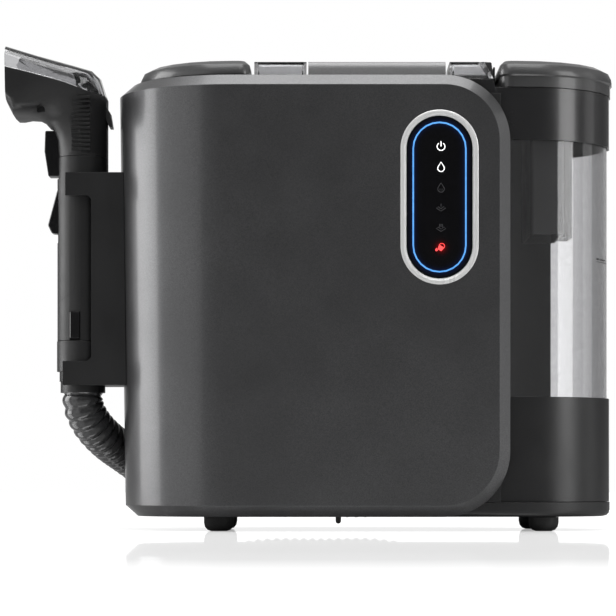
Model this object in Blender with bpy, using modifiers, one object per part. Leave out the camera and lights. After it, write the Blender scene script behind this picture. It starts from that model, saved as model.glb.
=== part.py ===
"""Portable steam and suction cleaner for carpets and upholstery, with its hand tool parked on a side cradle.

The front faces -Y, +Z is up, and the origin is on the floor under the middle of the machine.
All lengths are in metres.
"""

import math

import bmesh
import bpy
from mathutils import Matrix, Vector

# Gaps, walls and facets that every sub-assembly shares
GAP = 0.0003
SLIDE_GAP = 0.0006
OVERRUN = 0.002
WALL = 0.0024
WELD = 0.000001
ARC_STEPS = 12
CORNER_STEPS = 4
EDGE_STEPS = 3
ROUND_SIDES = 20
PIN_SIDES = 12

# Machine body: a stadium in plan, made of a front and a rear tray
HALF_DEPTH = 0.085
BODY_Y = -0.021
FRONT_Y = BODY_Y - HALF_DEPTH
REAR_Y = BODY_Y + HALF_DEPTH
LEFT_END_X = -0.056
UNDERSIDE_Z = 0.011
BODY_TOP_Z = 0.3445
CHAMFER_HEIGHT = 0.0085
CHAMFER_DEPTH = 0.0095
RIM_DEPTH = 0.0107
RIM_FRONT_Y = FRONT_Y + RIM_DEPTH
RIM_REAR_Y = REAR_Y - RIM_DEPTH
FRONT_RIGHT_X = 0.154
FRONT_CORNER = 0.050
REAR_RIGHT_X = 0.186
REAR_CORNER = 0.024
LEFT_FLARE = 0.0045
VENT_COUNT = 6
VENT_LOW_Z = 0.122
VENT_PITCH = 0.008
VENT_X = -0.022
VENT_HALF_WIDTH = 0.030
VENT_HEIGHT = 0.004

# Base pan, with the platform that the dirty tank stands on
PAN_TOP_Z = 0.022
PAN_EDGE_ROUND = 0.005

# Feet and the peg under the body
FOOT_HEIGHT = 0.0107
FOOT_RADIUS = 0.0115
FOOT_PAD_RADIUS = 0.006
FOOT_BULGE_SHARE = 0.6
FOOT_LEFT_X = -0.0665
FOOT_RIGHT_X = 0.1815
FOOT_INSET = 0.037
FOOT_SPREAD_Y = HALF_DEPTH - FOOT_INSET
PEG_X = 0.0245
PEG_INSET = 0.021
PEG_Y = FRONT_Y + PEG_INSET
PEG_RADIUS = 0.0021
PEG_LENGTH = 0.0052

# Dirty tank: half an ellipse outboard, a flat wall inboard
DIRTY_X = 0.159
DIRTY_REACH = 0.078
DIRTY_STEP = 0.015
DIRTY_HALF_DEPTH = HALF_DEPTH - DIRTY_STEP
DIRTY_FLAT = 0.041
TANK_CORNER = 0.014
CUP_WALL = 0.002
SLEEVE_WALL = 0.0014
DIRTY_SEAT_Z = 0.0223
WINDOW_BOTTOM_Z = 0.102
RING_BOTTOM_DROP = 0.048
RING_BOTTOM_Z = BODY_TOP_Z - RING_BOTTOM_DROP
RING_TOP_DROP = 0.0085
RING_TOP_Z = BODY_TOP_Z - RING_TOP_DROP
CUP_TOP_DROP = 0.0135
CUP_TOP_Z = BODY_TOP_Z - CUP_TOP_DROP
LID_RISE = 0.0135
LID_TOP_Z = BODY_TOP_Z + LID_RISE
LID_CORNER = 0.010
LID_OVERHANG = 0.002
LID_HALF_DEPTH = DIRTY_HALF_DEPTH + LID_OVERHANG
LID_EDGE_ROUND = 0.009
LID_EDGE_REACH = 0.017
LID_SKIRT_STEP = 0.0012
LID_WALL = 0.0022
DIRTY_LID_LEFT_X = 0.146
SHOULDER_DROP = 0.0025
SHOULDER_TOP_Z = BODY_TOP_Z - SHOULDER_DROP
SHOULDER_OVERHANG = 0.001
SHOULDER_HALF_DEPTH = DIRTY_HALF_DEPTH + SHOULDER_OVERHANG
SHOULDER_GAP = 0.0015
SHOULDER_SLOPE = 0.0035
PLINTH_INSET = 0.0026
PLINTH_HALF_DEPTH = 0.046
PLINTH_RISE = 0.007
PLINTH_TOP_Z = BODY_TOP_Z + PLINTH_RISE
COVER_THICKNESS = 0.0035
POUR_LEFT_X = 0.150
POUR_RIGHT_X = 0.182
POUR_INSET = 0.008
POUR_WIDTH = 0.019
POUR_FRONT_Y = BODY_Y - DIRTY_HALF_DEPTH + POUR_INSET
POUR_BACK_Y = POUR_FRONT_Y + POUR_WIDTH
POUR_CORNER = 0.004
SEPARATOR_X = 0.1849
SEPARATOR_HALF_WIDTH = 0.0129
SEPARATOR_HALF_DEPTH = 0.040
SEPARATOR_DROP = 0.069
SEPARATOR_BOTTOM_Z = RING_BOTTOM_Z - SEPARATOR_DROP
DUCT_X = 0.2023
DUCT_HALF_WIDTH = 0.0041
DUCT_HALF_DEPTH = 0.018
DUCT_DROP = 0.0695
DUCT_BOTTOM_Z = RING_BOTTOM_Z - DUCT_DROP
DUCT_ROUND = 0.003
FLOAT_X = 0.138
FLOAT_RADIUS = 0.012
FLOAT_DROP = 0.0705
FLOAT_REST_Z = RING_BOTTOM_Z - FLOAT_DROP
FLOAT_HEIGHT = 0.030
FLOAT_TRAVEL = 0.036
FLOAT_CROWN_SHARE = 0.6
CAGE_WALL = 0.0018
CAGE_SLOTS = 4
CAGE_SLOT_WIDTH = 0.007

# Hinges of both tank lids: their axis lies behind the lids, at the top
HINGE_BEHIND = 0.0005
HINGE_Y = BODY_Y + LID_HALF_DEPTH + HINGE_BEHIND
HINGE_RISE = 0.003
HINGE_Z = BODY_TOP_Z + HINGE_RISE
KNUCKLE_HALF = 0.005
KNUCKLE_RADIUS = 0.0025
PIN_RADIUS = 0.0012
EAR_THICKNESS = 0.0040
EAR_FRONT_REACH = 0.0002
EAR_REAR_REACH = 0.0012
EAR_FRONT_Y = HINGE_Y - EAR_FRONT_REACH
EAR_REAR_Y = HINGE_Y + EAR_REAR_REACH
EAR_FOOT_DROP = 0.004
EAR_FOOT_Z = RING_TOP_Z - EAR_FOOT_DROP
EAR_ROOT = 0.001
LUG_LENGTH = 0.007
COLLAR_BACK_Y = BODY_Y + DIRTY_HALF_DEPTH - EAR_ROOT
LUG_FRONT_Y = BODY_Y + LID_HALF_DEPTH - LUG_LENGTH
DIRTY_HINGE_X = 0.161
CLEAN_HINGE_X = -0.051

# Bay wall between the body and the dirty tank, and the air ports through it
BAY_CLEARANCE = 0.002
BAY_WALL = 0.002
BAY_RIGHT_X = 0.147
BAY_REAR_RIGHT_X = 0.184
BAY_DROP = 0.0137
BAY_TOP_Z = BODY_TOP_Z - BAY_DROP
INLET_FRONT_REACH = 0.046
INLET_BACK_REACH = 0.030
INLET_LOW_DROP = 0.0345
INLET_HIGH_DROP = 0.0185
INLET_LOW = (REAR_Y - INLET_FRONT_REACH, BODY_TOP_Z - INLET_LOW_DROP)
INLET_HIGH = (REAR_Y - INLET_BACK_REACH, BODY_TOP_Z - INLET_HIGH_DROP)
OUTLET_HALF_WIDTH = 0.0166
OUTLET_LOW_DROP = 0.0515
OUTLET_HIGH_DROP = 0.0435
OUTLET_LOW = (BODY_Y - OUTLET_HALF_WIDTH, BODY_TOP_Z - OUTLET_LOW_DROP)
OUTLET_HIGH = (BODY_Y + OUTLET_HALF_WIDTH, BODY_TOP_Z - OUTLET_HIGH_DROP)

# Clean tank: shaped as the dirty tank, mirrored and shorter
CLEAN_STEP = 0.0135
CLEAN_REACH = HALF_DEPTH - CLEAN_STEP
CLEAN_HALF_DEPTH = HALF_DEPTH - CLEAN_STEP
CLEAN_FLAT = 0.015
CLEAN_SEAT_Z = 0.100
CLEAN_LID_OVERHANG = 0.0022
CLEAN_LID_REACH = CLEAN_REACH + CLEAN_LID_OVERHANG
CLEAN_LID_RIGHT_X = -0.0415
COLLAR_DROP = 0.0265
COLLAR_BOTTOM_Z = BODY_TOP_Z - COLLAR_DROP
VALVE_X = -0.080
VALVE_RADIUS = 0.010
VALVE_STEM_RADIUS = 0.0055
VALVE_HEAD_HEIGHT = 0.003
VALVE_STEM_DROP = 0.007

# Tank buttons and carry handle on the top
HANDLE_LEFT_X = 0.0017
HANDLE_RIGHT_X = 0.1083
HANDLE_HALF_DEPTH = 0.018
HANDLE_HEIGHT = 0.0192
HANDLE_SPLIT_RISE = 0.0077
HANDLE_BOTTOM_Z = BODY_TOP_Z + GAP
HANDLE_TOP_Z = HANDLE_BOTTOM_Z + HANDLE_HEIGHT
HANDLE_SPLIT_Z = HANDLE_BOTTOM_Z + HANDLE_SPLIT_RISE
HANDLE_ROUND = 0.006
HANDLE_ARCH = 0.004
BUTTON_GAP = 0.0013
CLEAN_BUTTON_LEFT_X = -0.0395
DIRTY_BUTTON_RIGHT_X = 0.1365
DIRTY_BUTTON_SLOPE = 0.0065
BUTTON_HALF_DEPTH = 0.050
BUTTON_REST = 0.001
BUTTON_BOTTOM_Z = BODY_TOP_Z + BUTTON_REST
BUTTON_WALL = 0.002

# Top deck between the tanks, with the finger well under the handle
DECK_THICKNESS = 0.003
WELL_MARGIN_X = 0.013
WELL_STEP = 0.052
WELL_HALF_DEPTH = HALF_DEPTH - WELL_STEP
WELL_DEPTH = 0.036
WELL_ROUND = 0.006

# Control panel on the front
PANEL_X = 0.1002
PANEL_DROP = 0.0933
PANEL_Z = BODY_TOP_Z - PANEL_DROP
PANEL_HALF_WIDTH = 0.0293
PANEL_HALF_HEIGHT = 0.0656
BEZEL_WIDTH = 0.0044
BEZEL_PROUD = 0.0006
LIGHT_INSET = 0.0046
LIGHT_WIDTH = 0.0011
LIGHT_PROUD = 0.0002
LIGHT_DEPTH = 0.0010
GLASS_THICKNESS = 0.0018
BOARD_THICKNESS = 0.0016
BOARD_INSET = 0.003

# Water side: tank shelf, pump, heater and pipes
SHELF_THICKNESS = 0.0037
SHELF_LEG_REACH = 0.026
SHELF_LEG_HALF = 0.002
SHELF_HALF_DEPTH = 0.039
VALVE_CUP_DEPTH = 0.012
PIPE_RADIUS = 0.003
PIPE_BORE = 0.0018
PUMP_RADIUS = 0.017
PUMP_BAND = 0.003
PUMP_BAND_SHARE = 0.7
HEATER_X = 0.035
HEATER_HALF_WIDTH = 0.040
HEATER_HALF_DEPTH = 0.029
HEATER_HEIGHT = 0.040
HEATER_ROUND = 0.006
STEAM_RISE = 0.010
STEAM_BACK_REACH = 0.019
STEAM_BACK_Y = REAR_Y - STEAM_BACK_REACH
STEAM_STEPS = 3

# Suction side: motor on its stand, fan in its drum, ducts
MOTOR_X = 0.035
MOTOR_RADIUS = 0.042
MOTOR_NECK_RADIUS = 0.022
MOTOR_NECK_HEIGHT = 0.012
STAND_HALF_WIDTH = 0.060
STAND_PLATE = 0.0037
STAND_LEG_HALF = 0.0045
DRUM_DROP = 0.0545
DRUM_HEIGHT = 0.054
MOTOR_HEIGHT = 0.086
DRUM_HIGH_Z = BODY_TOP_Z - DRUM_DROP
DRUM_LOW_Z = DRUM_HIGH_Z - DRUM_HEIGHT
MOTOR_LOW_Z = DRUM_LOW_Z - MOTOR_HEIGHT
DRUM_ROOM = 0.035
DRUM_RADIUS = HALF_DEPTH - DRUM_ROOM
STAND_MARGIN = 0.004
STAND_HALF_DEPTH = DRUM_RADIUS + STAND_MARGIN
DRUM_EYE_RADIUS = 0.018
FAN_RISE = 0.010
FAN_HEIGHT = 0.028
FAN_LOW_Z = DRUM_LOW_Z + FAN_RISE
FAN_HIGH_Z = FAN_LOW_Z + FAN_HEIGHT
FAN_ROOM = 0.006
FAN_RADIUS = DRUM_RADIUS - FAN_ROOM
FAN_HUB_RADIUS = 0.012
FAN_DISC = 0.002
FAN_BLADES = 8
FAN_BLADE_STEPS = 4
FAN_SWEEP = 0.9
FAN_BLADE_THICKNESS = 0.002
FAN_BLADE_DROP = 0.001
SHAFT_RADIUS = 0.004
SHAFT_LENGTH = 0.046
AIR_DUCT_HALF = 0.020
DUCT_BOX_HALF = 0.014
DUCT_REACH = 0.028
DUCT_FRONT_Y = REAR_Y - DUCT_REACH
DUCT_LOW_Z = 0.185

# Hand tool: its axis stands beside the left end of the body, and its side view is given from that axis
TOOL_STANDOFF = 0.0335
TOOL_X = LEFT_END_X - HALF_DEPTH - TOOL_STANDOFF
NECK_RADIUS = 0.0199
HANDLE_LOW_Z = 0.1474
HANDLE_HIGH_Z = 0.2903
SPIGOT_RADIUS = 0.0144
SPIGOT_LOW_Z = 0.129
CHANNEL_RADIUS = 0.011
CHANNEL_SHIFT = 0.004
HEAD_SIDES = 20
HEAD_WIDEST = 0.060
HEAD_SECTIONS = (
    ((-0.0199, 0.2906), (0.0199, 0.2906), 0.0199, 2.0),
    ((-0.0206, 0.3030), (0.0199, 0.3060), 0.0200, 2.05),
    ((-0.0225, 0.3090), (0.0199, 0.3200), 0.0206, 2.1),
    ((-0.0253, 0.3134), (0.0200, 0.3348), 0.0218, 2.2),
    ((-0.0286, 0.3171), (0.0187, 0.3385), 0.0240, 2.4),
    ((-0.0342, 0.3200), (0.0144, 0.3517), 0.0280, 2.8),
    ((-0.0415, 0.3209), (0.0089, 0.3568), 0.0325, 3.2),
    ((-0.0476, 0.3204), (-0.0075, 0.3609), 0.0375, 3.8),
    ((-0.0522, 0.3210), (-0.0318, 0.3670), 0.0410, 4.5),
    ((-0.0563, 0.3298), (-0.0568, 0.3741), 0.0420, 5.0),
)
HEAD_TOP_Z = HEAD_SECTIONS[-1][1][1]
CHANNEL_SECTIONS = (
    ((-0.0070, 0.2870), (0.0150, 0.2870), 0.0110, 2.0),
    ((-0.0070, 0.2906), (0.0150, 0.2906), 0.0110, 2.0),
    ((-0.0070, 0.3030), (0.0160, 0.3060), 0.0130, 2.05),
    ((-0.0080, 0.3090), (0.0175, 0.3200), 0.0155, 2.1),
    ((-0.0109, 0.3139), (0.0178, 0.3334), 0.0185, 2.2),
    ((-0.0157, 0.3196), (0.0165, 0.3378), 0.0215, 2.4),
    ((-0.0233, 0.3280), (0.0127, 0.3502), 0.0255, 2.8),
    ((-0.0327, 0.3351), (0.0081, 0.3546), 0.0300, 3.2),
    ((-0.0417, 0.3408), (-0.0082, 0.3586), 0.0350, 3.8),
    ((-0.0495, 0.3447), (-0.0325, 0.3647), 0.0385, 4.5),
    ((-0.0569, 0.3481), (-0.0573, 0.3714), 0.0395, 5.0),
    ((-0.0707, 0.3525), (-0.0707, 0.3741), 0.0395, 5.0),
)
WINDOW_SPLIT = (
    (-0.0756, 0.3618),
    (-0.0582, 0.3568),
    (-0.0132, 0.3460),
    (0.0078, 0.3395),
    (0.0181, 0.3370),
    (0.0300, 0.3336),
)
SPLIT_GAP = 0.0006
BAFFLE_LINE = (
    (-0.0419, 0.3470), (-0.0209, 0.3437), (-0.0085, 0.3371), (-0.0029, 0.3259), (-0.0010, 0.3120)
)
BAFFLE_THICKNESS = 0.0018
HEAD_LIP = ((0.0185, 0.3300), (0.0219, 0.3249), (0.0237, 0.3139), (0.0212, 0.3139), (0.0185, 0.3200))
HEAD_LIP_HALF_WIDTH = 0.008
SCREW_WELL = (-0.0303, 0.3250)
SCREW_WELL_RADIUS = 0.0031
SCREW_WELL_FLOOR = 0.022
GRIP_RIBS = 13
GRIP_LOW_Z = 0.2945
GRIP_PITCH = 0.0033
GRIP_HALF_WIDTH = 0.0072
RIB_PROUD = 0.0007
NOZZLE_CORNER = (-0.0585, 0.3343)
NOZZLE_DEPTH = 0.006
NOZZLE_HEIGHT = 0.0065
NOZZLE_HALF_WIDTH = 0.011
NOZZLE_JETS = 3
NOZZLE_JET_RADIUS = 0.0012

# Trigger, thumb lock and release tab of the hand tool
TRIGGER_SLOT = ((-0.036, 0.2735), (-0.009, 0.2735), (-0.009, 0.313), (-0.036, 0.313))
TRIGGER_OUTLINE = (
    (-0.0289, 0.3111),
    (-0.0294, 0.2950),
    (-0.0264, 0.2755),
    (-0.0160, 0.2755),
    (-0.0105, 0.3080),
    (-0.0125, 0.3111),
)
TRIGGER_HALF_WIDTH = 0.0075
TRIGGER_ROUND = 0.001
TRIGGER_PIVOT = (-0.0135, 0.3078)
TRIGGER_PIN_HALF = 0.0125
LOCK_OUTLINE = (
    (-0.0195, 0.2653), (-0.0269, 0.2376), (-0.0239, 0.2314), (-0.0163, 0.2304), (-0.0163, 0.2653)
)
LOCK_INNER_X = -0.0163
LOCK_LOW_Z = 0.2304
LOCK_HIGH_Z = 0.2653
LOCK_HALF_WIDTH = 0.006
LOCK_ROUND = 0.0006
LOCK_TRAVEL = 0.006
TAB_LEFT_X = -0.0085
TAB_RIGHT_X = -0.0007
TAB_LOW_Z = 0.1485
TAB_HIGH_Z = 0.1696
TAB_PROUD = 0.001
TAB_THICKNESS = 0.0032
TAB_TRAVEL = 0.002
TAB_ROUND = 0.0006

# Suction hose, whose middle line runs through these points
HOSE_RADIUS = 0.016
HOSE_ROOT_RADIUS = 0.0142
HOSE_BORE_RADIUS = 0.011
RIB_PITCH = 0.0072
HOSE_CUFF = 0.012
HOSE_STEPS = 12
HOSE_BORE_STRIDE = 6
HOSE_LEAST_APART = 0.10
HOSE_STANDOFF = 0.020
HOSE_PLANE_Y = REAR_Y + HOSE_STANDOFF
# Lead-in of the hose: reach in X from the tool's axis, share of the way back to the loop's plane, height
HOSE_LEAD = (
    (0.0000, 0.0000, 0.1267),
    (0.0000, 0.0000, 0.1100),
    (0.0004, 0.0057, 0.0970),
    (0.0065, 0.0762, 0.0830),
    (0.0170, 0.2286, 0.0705),
    (0.0300, 0.5143, 0.0595),
    (0.0445, 0.6952, 0.0490),
    (0.0645, 0.8476, 0.0405),
    (0.0895, 0.9524, 0.0330),
    (0.1195, 0.9952, 0.0275),
    (0.1475, 1.0000, 0.0245),
    (0.1845, 1.0000, 0.0245),
)
# Quarter turns of the loop on the back: middle in X and Z, radius, first and last angle
HOSE_TURNS = (
    (0.055, 0.0995, 0.075, -90, 0),
    (0.055, 0.2250, 0.075, 0, 90),
    (-0.025, 0.2250, 0.075, 90, 180),
    (-0.028, 0.1380, 0.072, 180, 270),
    (0.008, 0.1300, 0.064, 270, 360),
)
HOSE_TURN_STEPS = 4
HOSE_END_Z = 0.190
HOSE_TOP_Z = 0.300
HOSE_BOTTOM_Z = 0.0245

# Collar, cuff and coupling of the hose, its two hooks and the inlet of the mains cord
HOSE_COLLAR_RADIUS = 0.0203
COLLAR_HIGH_Z = 0.147
COLLAR_STEP_Z = 0.1235
COLLAR_STEP = 0.002
COLLAR_LOW_Z = 0.1157
CUFF_RADIUS = 0.0175
CUFF_LENGTH = 0.0084
COUPLING_X = 0.072
COUPLING_RADIUS = 0.0195
COUPLING_SLEEVE = 0.028
COUPLING_PIPE_Z = 0.205
COUPLING_PIPE_RADIUS = 0.014
COUPLING_FLANGE_RADIUS = 0.017
COUPLING_BORE = 0.011
COUPLING_INSIDE = 0.005
COUPLING_END_Y = REAR_Y - COUPLING_INSIDE
HOOK_X = 0.015
HOOK_HALF_WIDTH = 0.020
HOOK_BASE = 0.012
HOOK_THICKNESS = 0.0025
HOOK_REACH = 0.022
HOOK_TIP_Y = HOSE_PLANE_Y + HOOK_REACH
HOOK_LIP = 0.010
GLAND_X = 0.1035
GLAND_Z = 0.105
GLAND_RADIUS = 0.006
GLAND_TAPER = 0.0015
GLAND_BORE = 0.0032
GLAND_INSIDE = 0.006
GLAND_NOSE = 0.011
GLAND_FLANGE = 0.0024
GLAND_FLANGE_RADIUS = 0.008

# Side cradle for the hand tool
CRADLE_LEFT_REACH = 0.0117
CRADLE_INNER_REACH = 0.0084
CRADLE_LEFT_X = TOOL_X - CRADLE_LEFT_REACH
CRADLE_INNER_X = TOOL_X + CRADLE_INNER_REACH
CRADLE_TOP_Z = 0.2769
CRADLE_LOW_Z = 0.1124
CRADLE_ARM_TOP_Z = 0.2592
CRADLE_ARM_LOW_Z = 0.1309
CRADLE_CORNER = 0.003
CRADLE_FOOT = 0.002
CRADLE_WALL = 0.003
CRADLE_CLEARANCE = 0.0009

# Finishes: colour, roughness and metallic value of each material
GRAPHITE = ((0.045, 0.045, 0.048), 0.38, 0.35)
DARK_SHELL = ((0.020, 0.020, 0.022), 0.42, 0.0)
BLACK_MATT = ((0.008, 0.008, 0.009), 0.62, 0.0)
BLACK_GLOSS = ((0.010, 0.010, 0.011), 0.10, 0.0)
SMOKE = ((0.10, 0.10, 0.105), 0.08, 0.0)
CLEAR = ((0.55, 0.57, 0.60), 0.08, 0.0)
SILVER = ((0.70, 0.70, 0.70), 0.22, 0.6)
LIGHT_BLUE = ((0.05, 0.35, 1.0), 0.30, 0.0)
RUBBER = ((0.012, 0.012, 0.012), 0.80, 0.0)
STEEL = ((0.45, 0.45, 0.46), 0.30, 1.0)
BOARD_GREEN = ((0.01, 0.12, 0.04), 0.50, 0.0)
PIPE_WHITE = ((0.62, 0.62, 0.60), 0.45, 0.0)
MOTOR_GREY = ((0.16, 0.16, 0.17), 0.40, 0.8)


def start_scene():
    """Clears the scene and makes one collection for the pieces and one for the cutters."""
    for obj in list(bpy.data.objects):
        bpy.data.objects.remove(obj, do_unlink=True)
    collections = []
    for name in ("steam_cleaner", "cutters"):
        collection = bpy.data.collections.new(name)
        bpy.context.scene.collection.children.link(collection)
        collections.append(collection)
    collections[1].hide_render = True
    return collections


PIECES, CUTTERS = start_scene()


def finished(obj, look):
    """Gives a piece its own material, smooth shading with sharp edges, and its place in the collection."""
    colour, roughness, metallic = look
    material = bpy.data.materials.new(obj.name)
    material.use_nodes = True
    shader = material.node_tree.nodes["Principled BSDF"]
    shader.inputs["Base Color"].default_value = (*colour, 1)
    shader.inputs["Roughness"].default_value = roughness
    shader.inputs["Metallic"].default_value = metallic
    material.diffuse_color = (*colour, 1)
    obj.data.materials.clear()
    obj.data.materials.append(material)
    obj.data.shade_smooth()
    obj.data.set_sharp_from_angle(angle=math.radians(35))
    PIECES.objects.link(obj)
    return obj


def hidden(obj):
    """Puts a helper shape among the cutters, out of the render."""
    obj.hide_render = True
    obj.display_type = "WIRE"
    CUTTERS.objects.link(obj)
    return obj


def placed(obj, look):
    return finished(obj, look) if look else hidden(obj)


def from_bmesh(name, shape, look=None):
    mesh = bpy.data.meshes.new(name)
    shape.to_mesh(mesh)
    shape.free()
    return placed(bpy.data.objects.new(name, mesh), look)


def loft(name, rings, look=None, closed=True, cap_start=True, cap_end=True, twisted=False):
    """A skin over rings of as many points each, with its end faces if asked, in triangles where it is twisted."""
    shape = bmesh.new()
    rows = [[shape.verts.new(point) for point in ring] for ring in rings]
    count = len(rows[0])
    for row, following in zip(rows, rows[1:]):
        for i in range(count if closed else count - 1):
            j = (i + 1) % count
            shape.faces.new((row[i], row[j], following[j], following[i]))
    if cap_start:
        shape.faces.new(rows[0][::-1])
    if cap_end:
        shape.faces.new(rows[-1])
    if twisted:
        bmesh.ops.triangulate(shape, faces=shape.faces)
    bmesh.ops.recalc_face_normals(shape, faces=shape.faces)
    return from_bmesh(name, shape, look)


def solidified(obj, thickness, inward=True):
    modifier = obj.modifiers.new("wall", "SOLIDIFY")
    modifier.thickness = thickness
    modifier.offset = -1 if inward else 1
    modifier.use_even_offset = True
    return obj


def plate(name, outlines, low, high, look=None, axis="Z"):
    """A flat outline, with any further outlines as holes, made thick from low to high along an axis."""
    curve = bpy.data.curves.new(name, "CURVE")
    curve.dimensions = "2D"
    curve.fill_mode = "BOTH"
    curve.extrude = (high - low) / 2
    for outline in outlines:
        spline = curve.splines.new("POLY")
        spline.points.add(len(outline) - 1)
        for point, (u, v) in zip(spline.points, outline):
            point.co = (u, v, 0, 1)
        spline.use_cyclic_u = True
    guide = bpy.data.objects.new(name + "_outline", curve)
    CUTTERS.objects.link(guide)
    mesh = bpy.data.meshes.new_from_object(guide.evaluated_get(bpy.context.evaluated_depsgraph_get()))
    bpy.data.objects.remove(guide)
    bpy.data.curves.remove(curve)
    shape = bmesh.new()
    shape.from_mesh(mesh)
    bpy.data.meshes.remove(mesh)
    bmesh.ops.remove_doubles(shape, verts=shape.verts, dist=WELD)
    middle = (low + high) / 2
    for vertex in shape.verts:
        u, v, w = vertex.co
        vertex.co = {"X": (w + middle, u, v), "Y": (u, middle - w, v), "Z": (u, v, w + middle)}[axis]
    bmesh.ops.recalc_face_normals(shape, faces=shape.faces)
    return from_bmesh(name, shape, look)


def box(name, low, high, look=None, rounding=0):
    """A box between two corners, with its edges rounded where asked."""
    shape = bmesh.new()
    bmesh.ops.create_cube(shape, size=1)
    for vertex in shape.verts:
        share = [0.5 + c for c in vertex.co]
        vertex.co = [a + (b - a) * s for a, b, s in zip(low, high, share)]
    obj = from_bmesh(name, shape, look)
    if rounding:
        rounded(obj, rounding)
    return obj


def rounded(obj, width, segments=2, angle=40):
    modifier = obj.modifiers.new("rounding", "BEVEL")
    modifier.width = width
    modifier.segments = segments
    modifier.limit_method = "ANGLE"
    modifier.angle_limit = math.radians(angle)
    return obj


def cylinder(name, start, end, radius, look=None, end_radius=None, sides=ROUND_SIDES):
    """A round bar or cone from one point to another."""
    start, end = Vector(start), Vector(end)
    turn = (end - start).to_track_quat("Z", "Y").to_matrix().to_4x4()
    shape = bmesh.new()
    bmesh.ops.create_cone(
        shape,
        cap_ends=True,
        segments=sides,
        radius1=radius,
        radius2=radius if end_radius is None else end_radius,
        depth=(end - start).length,
        matrix=Matrix.Translation((start + end) / 2) @ turn,
    )
    return from_bmesh(name, shape, look)


def turned(name, profile, centre, look=None, closed=False, sides=ROUND_SIDES):
    """A profile of radius and height, listed down its outer side, turned about an upright axis."""
    mesh = bpy.data.meshes.new(name)
    edges = [(i, i + 1) for i in range(len(profile) - 1)]
    if closed:
        edges.append((len(profile) - 1, 0))
    mesh.from_pydata([(r, 0, z) for r, z in profile], edges, [])
    obj = bpy.data.objects.new(name, mesh)
    obj.location = centre
    screw = obj.modifiers.new("turn", "SCREW")
    screw.steps = sides
    screw.render_steps = sides
    screw.use_merge_vertices = True
    screw.merge_threshold = WELD
    return placed(obj, look)


def radius_tube(name, points, radii, look):
    """A tube whose radius changes from point to point, welded into one closed mesh."""
    curve = bpy.data.curves.new(name, "CURVE")
    curve.dimensions = "3D"
    curve.bevel_depth = 1
    curve.bevel_resolution = 2
    curve.use_fill_caps = True
    curve.twist_mode = "MINIMUM"
    spline = curve.splines.new("POLY")
    spline.points.add(len(points) - 1)
    for target, point, radius in zip(spline.points, points, radii):
        target.co = (*point, 1)
        target.radius = radius
    guide = bpy.data.objects.new(name + "_guide", curve)
    CUTTERS.objects.link(guide)
    mesh = bpy.data.meshes.new_from_object(guide.evaluated_get(bpy.context.evaluated_depsgraph_get()))
    bpy.data.objects.remove(guide)
    bpy.data.curves.remove(curve)
    shape = bmesh.new()
    shape.from_mesh(mesh)
    bpy.data.meshes.remove(mesh)
    bmesh.ops.remove_doubles(shape, verts=shape.verts, dist=WELD)
    bmesh.ops.recalc_face_normals(shape, faces=shape.faces)
    return from_bmesh(name, shape, look)


def combine(obj, other, operation):
    modifier = obj.modifiers.new(other.name, "BOOLEAN")
    modifier.operation = operation
    modifier.solver = "EXACT"
    modifier.object = other
    return obj


def cut(obj, *cutters):
    for cutter in cutters:
        combine(obj, cutter, "DIFFERENCE")
    return obj


def join(obj, *others):
    for other in others:
        combine(obj, other, "UNION")
    return obj


def arc(centre, radii, start, end, steps):
    """Points on an ellipse's arc, angles in degrees."""
    points = []
    for step in range(steps + 1):
        angle = math.radians(start + (end - start) * step / steps)
        points.append((centre[0] + radii[0] * math.cos(angle), centre[1] + radii[1] * math.sin(angle)))
    return points


def round_rectangle(left, right, low, high, corner, steps=CORNER_STEPS):
    points = []
    for x, y, start in (
        (right - corner, low + corner, -90),
        (right - corner, high - corner, 0),
        (left + corner, high - corner, 90),
        (left + corner, low + corner, 180),
    ):
        points += arc((x, y), (corner, corner), start, start + 90, steps)
    return points


def stadium(x, z, half_width, half_height, inset=0):
    """An upright slot with round ends, about a centre."""
    radius = half_width - inset
    straight = half_height - half_width
    top = arc((x, z + straight), (radius, radius), 0, 180, ARC_STEPS)
    return top + arc((x, z - straight), (radius, radius), 180, 360, ARC_STEPS)


def tank_outline(centre_x, reach, half_depth, flat, side, grow=0, corner=TANK_CORNER):
    """Plan outline of a tank: half an ellipse outboard and a flat wall with round corners inboard."""
    corner += grow
    radii = (reach + grow, half_depth + grow)
    end = arc((0, 0), radii, -90, 90, ARC_STEPS)
    inner = corner - (flat + grow)
    upper = arc((inner, half_depth + grow - corner), (corner, corner), 90, 180, CORNER_STEPS)
    lower = arc((inner, corner - half_depth - grow), (corner, corner), 180, 270, CORNER_STEPS)
    return [(centre_x + side * x, BODY_Y + y) for x, y in end + upper + lower]


def at_height(outline, z):
    return [(x, y, z) for x, y in outline]


def dirty_outline(grow=0):
    return tank_outline(DIRTY_X, DIRTY_REACH, DIRTY_HALF_DEPTH, DIRTY_FLAT, 1, grow)


def clean_outline(grow=0):
    return tank_outline(LEFT_END_X, CLEAN_REACH, CLEAN_HALF_DEPTH, CLEAN_FLAT, -1, grow)


def flared(x, y, z):
    """The left end leans outwards a little towards the top."""
    height = (z - UNDERSIDE_Z) / (BODY_TOP_Z - UNDERSIDE_Z)
    outboard = max(0, (LEFT_END_X - x) / HALF_DEPTH)
    return (x - LEFT_FLARE * height * outboard, y, z)


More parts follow.
